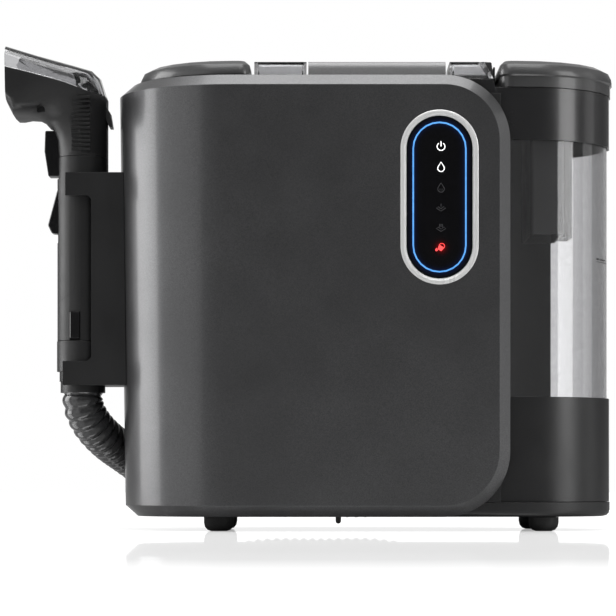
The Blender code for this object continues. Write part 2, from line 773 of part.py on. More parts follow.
def tray(name, right_x, corner, side, look):
    """Half of the body: a wall bent round the left end, chamfered and rimmed on its other three edges."""
    straight = right_x - LEFT_END_X
    quarter = math.pi / 2 * HALF_DEPTH - GAP

    def bent(along, z, depth):
        radius = HALF_DEPTH - depth
        if along <= straight:
            return flared(right_x - along, BODY_Y + side * radius, z)
        angle = (along - straight) / HALF_DEPTH
        return flared(LEFT_END_X - radius * math.sin(angle), BODY_Y + side * radius * math.cos(angle), z)

    def chain(inset, depth):
        reach = corner - inset
        bottom = [
            (corner - reach * math.cos(a), UNDERSIDE_Z + corner - reach * math.sin(a)) for a in corner_angles
        ]
        top = [(along, BODY_TOP_Z + UNDERSIDE_Z - z) for along, z in bottom]
        flat = [straight * i / EDGE_STEPS for i in range(1, EDGE_STEPS)]
        stops = [s for s in flat if s > corner] + [
            straight + quarter * i / ARC_STEPS for i in range(ARC_STEPS + 1)
        ]
        top += [(s, BODY_TOP_Z - inset) for s in stops]
        bottom += [(s, UNDERSIDE_Z + inset) for s in stops]
        return [bent(*point, depth) for point in top[::-1]] + [bent(*point, depth) for point in bottom]

    corner_angles = [math.pi / 2 * i / (2 * EDGE_STEPS) for i in range(2 * EDGE_STEPS + 1)]
    chains = [chain(CHAMFER_HEIGHT, 0), chain(0, CHAMFER_DEPTH), chain(0, RIM_DEPTH)]
    shape = bmesh.new()
    rows = [[shape.verts.new(point) for point in points] for points in chains]
    count = len(rows[0])
    for row, following in zip(rows, rows[1:]):
        for i in range(count - 1):
            shape.faces.new((row[i], row[i + 1], following[i + 1], following[i]))
    face = rows[0]
    for i in range(count // 2 - 1):
        shape.faces.new((face[i], face[i + 1], face[count - 2 - i], face[count - 1 - i]))
    bmesh.ops.recalc_face_normals(shape, faces=shape.faces)
    if sum(f.normal.y * f.calc_area() for f in shape.faces) * side < 0:
        bmesh.ops.reverse_faces(shape, faces=shape.faces)
    return solidified(from_bmesh(name, shape, look), WALL)


def body_block(name, grow):
    """The whole body's outer shape, grown a little, to cut what lies against it."""
    rings = []
    for z in (UNDERSIDE_Z - grow, BODY_TOP_Z + grow):
        outline = arc((LEFT_END_X, BODY_Y), (HALF_DEPTH + grow, HALF_DEPTH + grow), 90, 270, 2 * ARC_STEPS)
        outline += [(0, BODY_Y - HALF_DEPTH - grow), (0, BODY_Y + HALF_DEPTH + grow)]
        rings.append([flared(x, y, z) for x, y in outline])
    return loft(name, rings)


def build_front_shell():
    shell = tray("front_shell", FRONT_RIGHT_X, FRONT_CORNER, -1, GRAPHITE)
    opening = stadium(
        PANEL_X, PANEL_Z, PANEL_HALF_WIDTH - BEZEL_WIDTH + GAP, PANEL_HALF_HEIGHT - BEZEL_WIDTH + GAP
    )
    front = BODY_Y - HALF_DEPTH
    cut(shell, plate("panel_opening", [opening], front - OVERRUN, front + WALL + OVERRUN, axis="Y"))
    seat = stadium(PANEL_X, PANEL_Z, PANEL_HALF_WIDTH + GAP, PANEL_HALF_HEIGHT + GAP)
    cut(shell, plate("bezel_seat", [seat], front - OVERRUN, front + WALL / 2, axis="Y"))
    return shell


def build_rear_cover():
    """The rear tray, with its exhaust slots and the holes for the hose coupling and the cable gland."""
    cover = tray("rear_cover", REAR_RIGHT_X, REAR_CORNER, 1, DARK_SHELL)
    low, high = REAR_Y - WALL - OVERRUN, REAR_Y + OVERRUN
    for i in range(VENT_COUNT):
        z = VENT_LOW_Z + i * VENT_PITCH
        slot = round_rectangle(
            VENT_X - VENT_HALF_WIDTH,
            VENT_X + VENT_HALF_WIDTH,
            z,
            z + VENT_HEIGHT,
            VENT_HEIGHT / 2 - WELD,
            EDGE_STEPS,
        )
        cut(cover, plate(f"vent_{i}", [slot], low, high, axis="Y"))
    for name, x, z, radius in (
        ("coupling_hole", COUPLING_X, COUPLING_PIPE_Z, COUPLING_PIPE_RADIUS),
        ("gland_hole", GLAND_X, GLAND_Z, GLAND_RADIUS),
    ):
        cut(cover, cylinder(name, (x, low, z), (x, high, z), radius + GAP))
    return cover


def build_base_pan():
    """The floor pan: flat under the body, with a round platform under the dirty tank."""
    rim = HALF_DEPTH - RIM_DEPTH - GAP

    def outline(inset):
        left = arc((LEFT_END_X, BODY_Y), (rim - inset, rim - inset), 90, 270, 2 * ARC_STEPS)
        right = arc((DIRTY_X, BODY_Y), (DIRTY_REACH - inset, rim - inset), -90, 90, 2 * ARC_STEPS)
        return left + right

    rings = [
        at_height(
            outline(PAN_EDGE_ROUND * (1 - math.sin(a))), UNDERSIDE_Z + PAN_EDGE_ROUND * (1 - math.cos(a))
        )
        for a in (math.pi / 2 * i / EDGE_STEPS for i in range(EDGE_STEPS + 1))
    ]
    rings.append(at_height(outline(0), PAN_TOP_Z))
    pan = loft("base_pan", rings, BLACK_MATT)
    return pan


def build_feet(pan):
    """Four domed rubber feet with a flat pad below, and the small peg under the pan."""
    for name, x, y in (
        ("foot_front_left", FOOT_LEFT_X, -FOOT_SPREAD_Y),
        ("foot_front_right", FOOT_RIGHT_X, -FOOT_SPREAD_Y),
        ("foot_rear_left", FOOT_LEFT_X, FOOT_SPREAD_Y),
        ("foot_rear_right", FOOT_RIGHT_X, FOOT_SPREAD_Y),
    ):
        bulge = [
            (
                FOOT_PAD_RADIUS + (FOOT_RADIUS - FOOT_PAD_RADIUS) * math.cos(a),
                FOOT_HEIGHT * FOOT_BULGE_SHARE * (1 - math.sin(a)),
            )
            for a in (math.pi / 2 * i / EDGE_STEPS for i in range(EDGE_STEPS))
        ]
        profile = [(0, FOOT_HEIGHT), (FOOT_RADIUS, FOOT_HEIGHT), *bulge, (FOOT_PAD_RADIUS, 0), (0, 0)]
        turned(name, profile, (x, BODY_Y + y, 0), RUBBER, sides=ROUND_SIDES)
    top = UNDERSIDE_Z + WALL
    low = UNDERSIDE_Z - PEG_LENGTH + PEG_RADIUS
    peg = [(0, top), (PEG_RADIUS, top)]
    peg += [
        (PEG_RADIUS * math.cos(a), low - PEG_RADIUS * math.sin(a))
        for a in (math.pi / 2 * i / EDGE_STEPS for i in range(EDGE_STEPS + 1))
    ]
    join(pan, turned("drain_peg", peg, (PEG_X, PEG_Y, 0), sides=PIN_SIDES))


def build_bay_wall():
    """The upright wall that parts the body from the dirty tank and carries on round the tank's back."""
    grow = BAY_CLEARANCE
    side_y = DIRTY_HALF_DEPTH + grow
    flat_x = DIRTY_X - DIRTY_FLAT - grow
    corner = TANK_CORNER + grow
    inner = (flat_x + corner, side_y - corner)
    path = [(BAY_RIGHT_X, BODY_Y - side_y)]
    path += [(x, BODY_Y + y) for x, y in arc((inner[0], -inner[1]), (corner, corner), 270, 180, CORNER_STEPS)]
    path += [(x, BODY_Y + y) for x, y in arc(inner, (corner, corner), 180, 90, CORNER_STEPS)]
    path += [(DIRTY_X, BODY_Y + side_y)]
    reach = DIRTY_REACH + grow
    share = (BAY_REAR_RIGHT_X - DIRTY_X) / reach
    last = math.degrees(math.acos(share))
    path += [(x, BODY_Y + y) for x, y in arc((DIRTY_X, 0), (reach, side_y), 90, last, CORNER_STEPS)[1:]]
    rings = [at_height(path, z) for z in (PAN_TOP_Z + GAP, BAY_TOP_Z)]
    wall = loft("bay_wall", rings, DARK_SHELL, closed=False, cap_start=False, cap_end=False)
    bmesh_facing(wall, (DIRTY_X, BODY_Y, 0))
    solidified(wall, BAY_WALL)
    low, high = flat_x - BAY_WALL - OVERRUN, flat_x + OVERRUN
    cut(wall, box("bay_inlet", (low, *INLET_LOW), (high, *INLET_HIGH)))
    cut(wall, box("bay_outlet", (low, *OUTLET_LOW), (high, *OUTLET_HIGH)))
    return wall


def bmesh_facing(obj, point):
    """Turns an open sheet's faces towards a point, so that a wall grows away from it."""
    shape = bmesh.new()
    shape.from_mesh(obj.data)
    bmesh.ops.recalc_face_normals(shape, faces=shape.faces)
    lean = 0
    for face in shape.faces:
        middle = face.calc_center_median()
        lean += face.normal.dot(Vector((point[0], point[1], middle.z)) - middle)
    if lean < 0:
        bmesh.ops.reverse_faces(shape, faces=shape.faces)
    shape.to_mesh(obj.data)
    shape.free()


def build_top_deck():
    """The strip between the tanks, with a well for the fingers under the handle."""
    y_low, y_high = RIM_FRONT_Y + GAP, RIM_REAR_Y - GAP
    deck = box(
        "top_deck",
        (HANDLE_LEFT_X, y_low, BODY_TOP_Z - DECK_THICKNESS),
        (HANDLE_RIGHT_X, y_high, BODY_TOP_Z),
        DARK_SHELL,
    )
    floor_z = BODY_TOP_Z - WELL_DEPTH
    left, right = HANDLE_LEFT_X + WELL_MARGIN_X, HANDLE_RIGHT_X - WELL_MARGIN_X
    low, high = BODY_Y - WELL_HALF_DEPTH, BODY_Y + WELL_HALF_DEPTH
    around = box(
        "well_walls",
        (left - WALL, low - WALL, floor_z - WALL),
        (right + WALL, high + WALL, BODY_TOP_Z - DECK_THICKNESS / 2),
    )
    join(deck, around)
    hollow = plate(
        "well_hollow", [round_rectangle(left, right, low, high, WELL_ROUND)], floor_z, BODY_TOP_Z + OVERRUN
    )
    return cut(deck, hollow)


def build_carry_handle():
    """The grip in two halves, split along its length, arched a little over the well."""
    section = round_rectangle(
        BODY_Y - HANDLE_HALF_DEPTH, BODY_Y + HANDLE_HALF_DEPTH, HANDLE_BOTTOM_Z, HANDLE_TOP_Z, HANDLE_ROUND
    )
    y_low, y_high = BODY_Y - HANDLE_HALF_DEPTH - OVERRUN, BODY_Y + HANDLE_HALF_DEPTH + OVERRUN
    for name, low, high, look in (
        ("carry_handle", HANDLE_SPLIT_Z + GAP, HANDLE_TOP_Z + OVERRUN, MOTOR_GREY),
        ("handle_underside", HANDLE_BOTTOM_Z - OVERRUN, HANDLE_SPLIT_Z, BLACK_MATT),
    ):
        bar = plate(name, [section], HANDLE_LEFT_X, HANDLE_RIGHT_X, look, axis="X")
        keep = box(
            name + "_half", (HANDLE_LEFT_X - OVERRUN, y_low, low), (HANDLE_RIGHT_X + OVERRUN, y_high, high)
        )
        combine(bar, keep, "INTERSECT")
    left, right = HANDLE_LEFT_X + WELL_MARGIN_X, HANDLE_RIGHT_X - WELL_MARGIN_X
    arch = [(left, HANDLE_BOTTOM_Z - OVERRUN), (left, HANDLE_BOTTOM_Z)]
    arch += [
        (left + HANDLE_ARCH, HANDLE_BOTTOM_Z + HANDLE_ARCH),
        (right - HANDLE_ARCH, HANDLE_BOTTOM_Z + HANDLE_ARCH),
    ]
    arch += [(right, HANDLE_BOTTOM_Z), (right, HANDLE_BOTTOM_Z - OVERRUN)]
    return cut(bar, plate("handle_arch", [arch], y_low, y_high, axis="Y"))


def button_cap(name, bottom_left, bottom_right, top_left, top_right):
    """A smoke-coloured press cap: a hollow box, open below."""
    y_low, y_high = BODY_Y - BUTTON_HALF_DEPTH, BODY_Y + BUTTON_HALF_DEPTH
    rings = [
        [(left, y_low, z), (right, y_low, z), (right, y_high, z), (left, y_high, z)]
        for left, right, z in (
            (bottom_left, bottom_right, BUTTON_BOTTOM_Z), (top_left, top_right, LID_TOP_Z)
        )
    ]
    cap = loft(name, rings, SMOKE)
    inner = []
    for ring in rings:
        inset_ring = []
        for x, y, z in ring:
            inwards_x = math.copysign(BUTTON_WALL, bottom_left + bottom_right - 2 * x)
            inwards_y = math.copysign(BUTTON_WALL, BODY_Y - y)
            inset_ring.append((x + inwards_x, y + inwards_y, z))
        inner.append(inset_ring)
    inner[0] = [(x, y, BUTTON_BOTTOM_Z - OVERRUN) for x, y, _ in inner[0]]
    inner[1] = [(x, y, LID_TOP_Z - BUTTON_WALL) for x, y, _ in inner[1]]
    return cut(cap, loft(name + "_hollow", inner))


def build_buttons():
    left, right = CLEAN_BUTTON_LEFT_X, HANDLE_LEFT_X - BUTTON_GAP
    button_cap("clean_tank_button", left, right, left, right)
    left = HANDLE_RIGHT_X + BUTTON_GAP
    right = DIRTY_BUTTON_RIGHT_X
    button_cap("dirty_tank_button", left, right + DIRTY_BUTTON_SLOPE, left, right)


def build_control_panel():
    """The oval panel: a bright bezel, a dark glass with a light line let into it, and the board behind."""
    opening_width, opening_height = PANEL_HALF_WIDTH - BEZEL_WIDTH, PANEL_HALF_HEIGHT - BEZEL_WIDTH
    outer = stadium(PANEL_X, PANEL_Z, PANEL_HALF_WIDTH, PANEL_HALF_HEIGHT)
    inner = stadium(PANEL_X, PANEL_Z, opening_width, opening_height)
    plate("panel_bezel", [outer, inner], FRONT_Y - BEZEL_PROUD, FRONT_Y + WALL / 2 - GAP, SILVER, axis="Y")
    glass_edge = stadium(PANEL_X, PANEL_Z, opening_width - GAP, opening_height - GAP)
    glass = plate("panel_glass", [glass_edge], FRONT_Y, FRONT_Y + GLASS_THICKNESS, BLACK_GLOSS, axis="Y")
    lines = [
        stadium(PANEL_X, PANEL_Z, opening_width - inset, opening_height - inset)
        for inset in (LIGHT_INSET, LIGHT_INSET + LIGHT_WIDTH)
    ]
    plate("panel_light", lines, FRONT_Y - LIGHT_PROUD, FRONT_Y + LIGHT_DEPTH - GAP, LIGHT_BLUE, axis="Y")
    groove = [
        stadium(PANEL_X, PANEL_Z, opening_width - inset, opening_height - inset)
        for inset in (LIGHT_INSET - GAP, LIGHT_INSET + LIGHT_WIDTH + GAP)
    ]
    cut(glass, plate("light_groove", groove, FRONT_Y - OVERRUN, FRONT_Y + LIGHT_DEPTH, axis="Y"))
    board_edge = stadium(PANEL_X, PANEL_Z, PANEL_HALF_WIDTH - BOARD_INSET, PANEL_HALF_HEIGHT - BOARD_INSET)
    board_front = FRONT_Y + WALL + GAP
    plate("control_board", [board_edge], board_front, board_front + BOARD_THICKNESS, BOARD_GREEN, axis="Y")


def cup(name, outline, low, high, wall, look):
    """An open-topped vessel with walls and floor of one thickness."""
    return solidified(
        loft(name, [at_height(outline, low), at_height(outline, high)], look, cap_end=False), wall
    )


def tank_collar(name, outline, sleeve, low, high, shoulder, plinth, look):
    """The band round a tank's top, with a shoulder beside the lid that carries the press button."""
    band = plate(name, [outline(sleeve), outline(sleeve - SLEEVE_WALL)], low, high, look)
    (left_low, right_low), (left_high, right_high) = shoulder
    y_low, y_high = BODY_Y - SHOULDER_HALF_DEPTH, BODY_Y + SHOULDER_HALF_DEPTH
    rings = [
        [(left, y_low, z), (right, y_low, z), (right, y_high, z), (left, y_high, z)]
        for left, right, z in (
            (left_low, right_low, CUP_TOP_Z + GAP),
            (left_high, right_high, SHOULDER_TOP_Z),
        )
    ]
    join(band, loft(name + "_shoulder", rings))
    platform = box(
        name + "_plinth",
        (plinth[0] + PLINTH_INSET, BODY_Y - PLINTH_HALF_DEPTH, SHOULDER_TOP_Z - OVERRUN),
        (plinth[1] - PLINTH_INSET, BODY_Y + PLINTH_HALF_DEPTH, PLINTH_TOP_Z),
    )
    return join(band, platform)


def tank_lid(name, centre_x, reach, flat, side, look):
    """A flat-topped lid with soft edges and an inset skirt, hollow below."""

    def ring(inset, z, drawn_in=0):
        half_depth = LID_HALF_DEPTH - drawn_in
        return at_height(
            tank_outline(centre_x, reach - drawn_in, half_depth, flat, side, -inset, LID_CORNER), z
        )

    rings = [
        ring(LID_SKIRT_STEP, RING_TOP_Z + GAP),
        ring(LID_SKIRT_STEP, BODY_TOP_Z),
        ring(0, BODY_TOP_Z + LID_SKIRT_STEP),
    ]
    for i in range(EDGE_STEPS + 1):
        angle = math.pi / 2 * i / EDGE_STEPS
        inset_share = 1 - math.cos(angle)
        drop = LID_EDGE_ROUND * (1 - math.sin(angle))
        drawn_in = (LID_EDGE_REACH - LID_EDGE_ROUND) * inset_share
        rings.append(ring(LID_EDGE_ROUND * inset_share, LID_TOP_Z - drop, drawn_in))
    return solidified(loft(name, rings, look, cap_start=False), LID_WALL)


def lid_hinge(collar, lid, pin_name, x):
    """Two ears that rise from the collar behind the lid, the lid's knuckle between them, and their pin."""
    axis_y, axis_z = HINGE_Y, HINGE_Z
    for side in (-1, 1):
        inner = x + side * (KNUCKLE_HALF + GAP)
        outer = inner + side * EAR_THICKNESS
        low, high = min(inner, outer), max(inner, outer)
        name = f"{pin_name}_ear_{'left' if side < 0 else 'right'}"
        outline = [(COLLAR_BACK_Y, RING_TOP_Z - GAP), (COLLAR_BACK_Y, EAR_FOOT_Z), (EAR_REAR_Y, EAR_FOOT_Z)]
        outline += arc((axis_y, axis_z), (KNUCKLE_RADIUS, KNUCKLE_RADIUS), -60, 260, 2 * CORNER_STEPS)
        outline.append((EAR_FRONT_Y, RING_TOP_Z - GAP))
        join(collar, plate(name, [outline], low, high, axis="X"))
        reach = OVERRUN * side
        hole = cylinder(
            name + "_hole",
            (inner - reach, axis_y, axis_z),
            (outer + reach, axis_y, axis_z),
            PIN_RADIUS + GAP,
            sides=PIN_SIDES,
        )
        cut(collar, hole)
        notch_low = (low - GAP, axis_y - KNUCKLE_RADIUS - SLIDE_GAP, RING_TOP_Z)
        notch_high = (high + GAP, EAR_REAR_Y + OVERRUN, axis_z + KNUCKLE_RADIUS + SLIDE_GAP)
        cut(lid, box(name + "_notch", notch_low, notch_high))
    ends = (x - KNUCKLE_HALF, axis_y, axis_z), (x + KNUCKLE_HALF, axis_y, axis_z)
    lug = box(
        pin_name + "_lug", (x - KNUCKLE_HALF, LUG_FRONT_Y, axis_z), (
            x + KNUCKLE_HALF, axis_y, axis_z + KNUCKLE_RADIUS
        )
    )
    join(lid, lug, cylinder(pin_name + "_knuckle", *ends, KNUCKLE_RADIUS, sides=PIN_SIDES))
    over = Vector((OVERRUN, 0, 0))
    cut(
        lid,
        cylinder(
            pin_name + "_bore",
            Vector(ends[0]) - over,
            Vector(ends[1]) + over,
            PIN_RADIUS + GAP,
            sides=PIN_SIDES,
        ),
    )
    reach = Vector((EAR_THICKNESS + GAP, 0, 0))
    cylinder(pin_name, Vector(ends[0]) - reach, Vector(ends[1]) + reach, PIN_RADIUS, STEEL, sides=PIN_SIDES)


def build_dirty_tank():
    """The smoke-coloured recovery tank in its opaque base and collar, with what hangs inside it."""
    inner_grow = -SLEEVE_WALL - GAP
    cup("dirty_tank_base", dirty_outline(), DIRTY_SEAT_Z, WINDOW_BOTTOM_Z, SLEEVE_WALL, DARK_SHELL)
    vessel = cup(
        "dirty_tank_cup",
        dirty_outline(inner_grow),
        DIRTY_SEAT_Z + SLEEVE_WALL + GAP,
        CUP_TOP_Z,
        CUP_WALL,
        SMOKE,
    )
    button_left = HANDLE_RIGHT_X + BUTTON_GAP
    shoulder_right = DIRTY_LID_LEFT_X - SHOULDER_GAP
    shoulder = ((button_left, shoulder_right), (button_left, shoulder_right - SHOULDER_SLOPE))
    plinth = (button_left, DIRTY_BUTTON_RIGHT_X)
    collar = tank_collar(
        "dirty_tank_collar", dirty_outline, 0, RING_BOTTOM_Z, RING_TOP_Z, shoulder, plinth, BLACK_GLOSS
    )
    flat_x = DIRTY_X - DIRTY_FLAT
    low, high = flat_x - OVERRUN, flat_x + CUP_WALL + SLEEVE_WALL + OVERRUN
    for port, port_low, port_high in (
        ("inlet", INLET_LOW, INLET_HIGH), ("outlet", OUTLET_LOW, OUTLET_HIGH)
    ):
        opening = box(f"tank_{port}", (low, *port_low), (high, *port_high))
        cut(vessel, opening)
        cut(collar, opening)
    lid = tank_lid(
        "dirty_tank_lid", DIRTY_X, DIRTY_REACH + LID_OVERHANG, DIRTY_X - DIRTY_LID_LEFT_X, 1, BLACK_GLOSS
    )
    lid_hinge(collar, lid, "dirty_lid_pin", DIRTY_HINGE_X)
    cover_edge = dirty_outline(inner_grow)
    cover = plate(
        "dirty_tank_cover", [cover_edge], CUP_TOP_Z + GAP, CUP_TOP_Z + COVER_THICKNESS, BLACK_MATT
    )
    clear = (DIRTY_LID_LEFT_X, BODY_Y - HALF_DEPTH, CUP_TOP_Z - OVERRUN)
    combine(
        cover, box("cover_half", clear, (DIRTY_X + HALF_DEPTH, REAR_Y, RING_TOP_Z + OVERRUN)), "INTERSECT"
    )
    pour = round_rectangle(POUR_LEFT_X, POUR_RIGHT_X, POUR_FRONT_Y, POUR_BACK_Y, POUR_CORNER)
    cut(cover, plate("pour_opening", [pour], CUP_TOP_Z - OVERRUN, RING_TOP_Z + OVERRUN))
    top = CUP_TOP_Z
    for name, x, half_width, half_depth, bottom, look in (
        (
            "dirty_tank_separator",
            SEPARATOR_X,
            SEPARATOR_HALF_WIDTH,
            SEPARATOR_HALF_DEPTH,
            SEPARATOR_BOTTOM_Z,
            MOTOR_GREY,
        ),
        ("dirty_tank_duct", DUCT_X, DUCT_HALF_WIDTH, DUCT_HALF_DEPTH, DUCT_BOTTOM_Z, SMOKE),
    ):
        outer = round_rectangle(
            x - half_width, x + half_width, BODY_Y - half_depth, BODY_Y + half_depth, DUCT_ROUND
        )
        chamber = plate(name, [outer], bottom, top, look)
        bore = round_rectangle(
            x - half_width + CUP_WALL, x + half_width - CUP_WALL,
            BODY_Y - half_depth + CUP_WALL, BODY_Y + half_depth - CUP_WALL, DUCT_ROUND - CUP_WALL / 2,
        )
        cut(chamber, plate(name + "_bore", [bore], bottom - OVERRUN, top - CUP_WALL))
    cage_top = top
    outer, inner = FLOAT_RADIUS + SLIDE_GAP + CAGE_WALL, FLOAT_RADIUS + SLIDE_GAP
    cage_bottom = FLOAT_REST_Z - GAP - CAGE_WALL
    cage = cylinder(
        "float_cage", (FLOAT_X, BODY_Y, cage_bottom), (FLOAT_X, BODY_Y, cage_top), outer, MOTOR_GREY
    )
    bore_top = (FLOAT_X, BODY_Y, cage_top - CAGE_WALL)
    cut(cage, cylinder("cage_bore", (FLOAT_X, BODY_Y, FLOAT_REST_Z - GAP), bore_top, inner))
    for i in range(CAGE_SLOTS // 2):
        angle = math.pi / CAGE_SLOTS + i * math.pi / 2
        reach = outer + OVERRUN
        slot = box(
            f"cage_slot_{i}",
            (-reach, -CAGE_SLOT_WIDTH / 2, FLOAT_REST_Z),
            (reach, CAGE_SLOT_WIDTH / 2, FLOAT_REST_Z + FLOAT_HEIGHT + FLOAT_TRAVEL),
        )
        slot.rotation_euler = (0, 0, angle)
        slot.location = (FLOAT_X, BODY_Y, 0)
        cut(cage, slot)
    float_top = FLOAT_REST_Z + FLOAT_HEIGHT
    profile = [(0, float_top), (FLOAT_RADIUS * FLOAT_CROWN_SHARE, float_top)]
    profile += [
        (FLOAT_RADIUS, float_top - FLOAT_RADIUS * (1 - FLOAT_CROWN_SHARE)),
        (FLOAT_RADIUS, FLOAT_REST_Z),
        (0, FLOAT_REST_Z),
    ]
    turned("dirty_tank_float", profile, (FLOAT_X, BODY_Y, 0), PIPE_WHITE)


def build_clean_tank():
    """The fresh-water tank at the left end, its collar, lid and outlet valve."""
    vessel = cup("clean_tank_cup", clean_outline(), CLEAN_SEAT_Z, CUP_TOP_Z, CUP_WALL, CLEAR)
    sleeve = SLEEVE_WALL + GAP
    right = HANDLE_LEFT_X - BUTTON_GAP
    left = CLEAN_LID_RIGHT_X + SHOULDER_GAP
    shoulder, plinth = ((left, right), (left, right)), (CLEAN_BUTTON_LEFT_X, right)
    collar = tank_collar(
        "clean_tank_collar", clean_outline, sleeve, COLLAR_BOTTOM_Z, RING_TOP_Z, shoulder, plinth, DARK_SHELL
    )
    lid = tank_lid(
        "clean_tank_lid", LEFT_END_X, CLEAN_LID_REACH, CLEAN_LID_RIGHT_X - LEFT_END_X, -1, BLACK_GLOSS
    )
    lid_hinge(collar, lid, "clean_lid_pin", CLEAN_HINGE_X)
    floor_z = CLEAN_SEAT_Z
    centre = (VALVE_X, BODY_Y, 0)
    low, high = (VALVE_X, BODY_Y, floor_z - OVERRUN), (VALVE_X, BODY_Y, floor_z + CUP_WALL + OVERRUN)
    cut(vessel, cylinder("valve_hole", low, high, VALVE_STEM_RADIUS + GAP))
    head_low = floor_z + CUP_WALL + GAP
    profile = [
        (0, head_low + VALVE_HEAD_HEIGHT),
        (VALVE_RADIUS, head_low + VALVE_HEAD_HEIGHT),
        (VALVE_RADIUS, head_low),
        (VALVE_STEM_RADIUS, head_low),
        (VALVE_STEM_RADIUS, floor_z - VALVE_STEM_DROP),
        (0, floor_z - VALVE_STEM_DROP),
    ]
    turned("clean_tank_valve", profile, centre, PIPE_WHITE)


def upright_box(name, x, y, half_x, half_y, low, high, look=None):
    return box(name, (x - half_x, y - half_y, low), (x + half_x, y + half_y, high), look)


def build_water_side():
    """The shelf under the clean tank, the pump, the heater and the pipes between them."""
    pan_z = PAN_TOP_Z + GAP
    shelf_top = CLEAN_SEAT_Z - GAP
    shelf = plate(
        "clean_tank_shelf",
        [clean_outline(-TANK_CORNER / 2)],
        shelf_top - SHELF_THICKNESS,
        shelf_top,
        BLACK_MATT,
    )
    for side in (-1, 1):
        x = VALVE_X + side * SHELF_LEG_REACH
        top = shelf_top - SHELF_THICKNESS / 2
        join(
            shelf,
            upright_box(f"shelf_leg_{side + 1}", x, BODY_Y, SHELF_LEG_HALF, SHELF_HALF_DEPTH, pan_z, top),
        )
    ring_low = shelf_top - VALVE_CUP_DEPTH
    seat_ring = cylinder(
        "valve_seat_ring",
        (VALVE_X, BODY_Y, shelf_top - SHELF_THICKNESS / 2),
        (VALVE_X, BODY_Y, ring_low),
        VALVE_RADIUS,
    )
    pump_z = pan_z + PUMP_RADIUS
    feed_ends = (VALVE_X, BODY_Y, pump_z + PUMP_RADIUS + GAP), (VALVE_X, BODY_Y, ring_low + WALL / 2)
    join(shelf, seat_ring, cylinder("feed_pipe", *feed_ends, PIPE_RADIUS, sides=PIN_SIDES))
    bore_top = (VALVE_X, BODY_Y, shelf_top + OVERRUN)
    bore_low = (VALVE_X, BODY_Y, ring_low + WALL)
    cut(shelf, cylinder("valve_bore", bore_low, bore_top, VALVE_STEM_RADIUS + SLIDE_GAP))
    outlet_low = (VALVE_X, BODY_Y, feed_ends[0][2] - OVERRUN)
    cut(shelf, cylinder("valve_outlet", outlet_low, bore_top, PIPE_BORE, sides=PIN_SIDES))
    pump_half = SHELF_LEG_REACH - SHELF_LEG_HALF - GAP
    profile = [(-pump_half, PUMP_RADIUS)]
    for side in (-1, 1):
        x = side * pump_half * PUMP_BAND_SHARE
        floor_half = PUMP_BAND / 4
        profile.append((x - PUMP_BAND / 2, PUMP_RADIUS))
        profile.append((x - floor_half, PUMP_RADIUS - floor_half))
        profile.append((x + floor_half, PUMP_RADIUS - floor_half))
        profile.append((x + PUMP_BAND / 2, PUMP_RADIUS))
    profile.append((pump_half, PUMP_RADIUS))
    rings = []
    for x, radius in profile:
        circle = arc((BODY_Y, pump_z), (radius, radius), 0, 360, ROUND_SIDES)[:-1]
        rings.append([(VALVE_X + x, y, z) for y, z in circle])
    loft("water_pump", rings, MOTOR_GREY)
    heater_low = (HEATER_X - HEATER_HALF_WIDTH, BODY_Y - HEATER_HALF_DEPTH, pan_z)
    heater_high = (HEATER_X + HEATER_HALF_WIDTH, BODY_Y + HEATER_HALF_DEPTH, pan_z + HEATER_HEIGHT)
    heater = box("steam_heater", heater_low, heater_high, STEEL, HEATER_ROUND)
    leg_right = VALVE_X + SHELF_LEG_REACH + SHELF_LEG_HALF + GAP
    inlet = (leg_right, BODY_Y, pump_z), (heater_low[0] + WALL, BODY_Y, pump_z)
    join(heater, cylinder("heater_inlet", *inlet, PIPE_RADIUS, sides=PIN_SIDES))
    riser_y = BODY_Y + HEATER_HALF_DEPTH / 2
    top = pan_z + HEATER_HEIGHT + GAP
    goal = DUCT_LOW_Z - GAP
    route = smooth_route(
        [
            (HEATER_X, riser_y, top),
            (HEATER_X, riser_y, top + STEAM_RISE / 2),
            (HEATER_X, riser_y, top + STEAM_RISE),
            (HEATER_X, STEAM_BACK_Y, top + 3 * STEAM_RISE),
            (COUPLING_X, STEAM_BACK_Y, goal - 3 * STEAM_RISE),
            (COUPLING_X, STEAM_BACK_Y, goal - STEAM_RISE),
            (COUPLING_X, STEAM_BACK_Y, goal - STEAM_RISE / 2),
            (COUPLING_X, STEAM_BACK_Y, goal),
        ],
        STEAM_STEPS,
    )
    radius_tube("steam_pipe", route, [PIPE_RADIUS] * len(route), PIPE_WHITE)


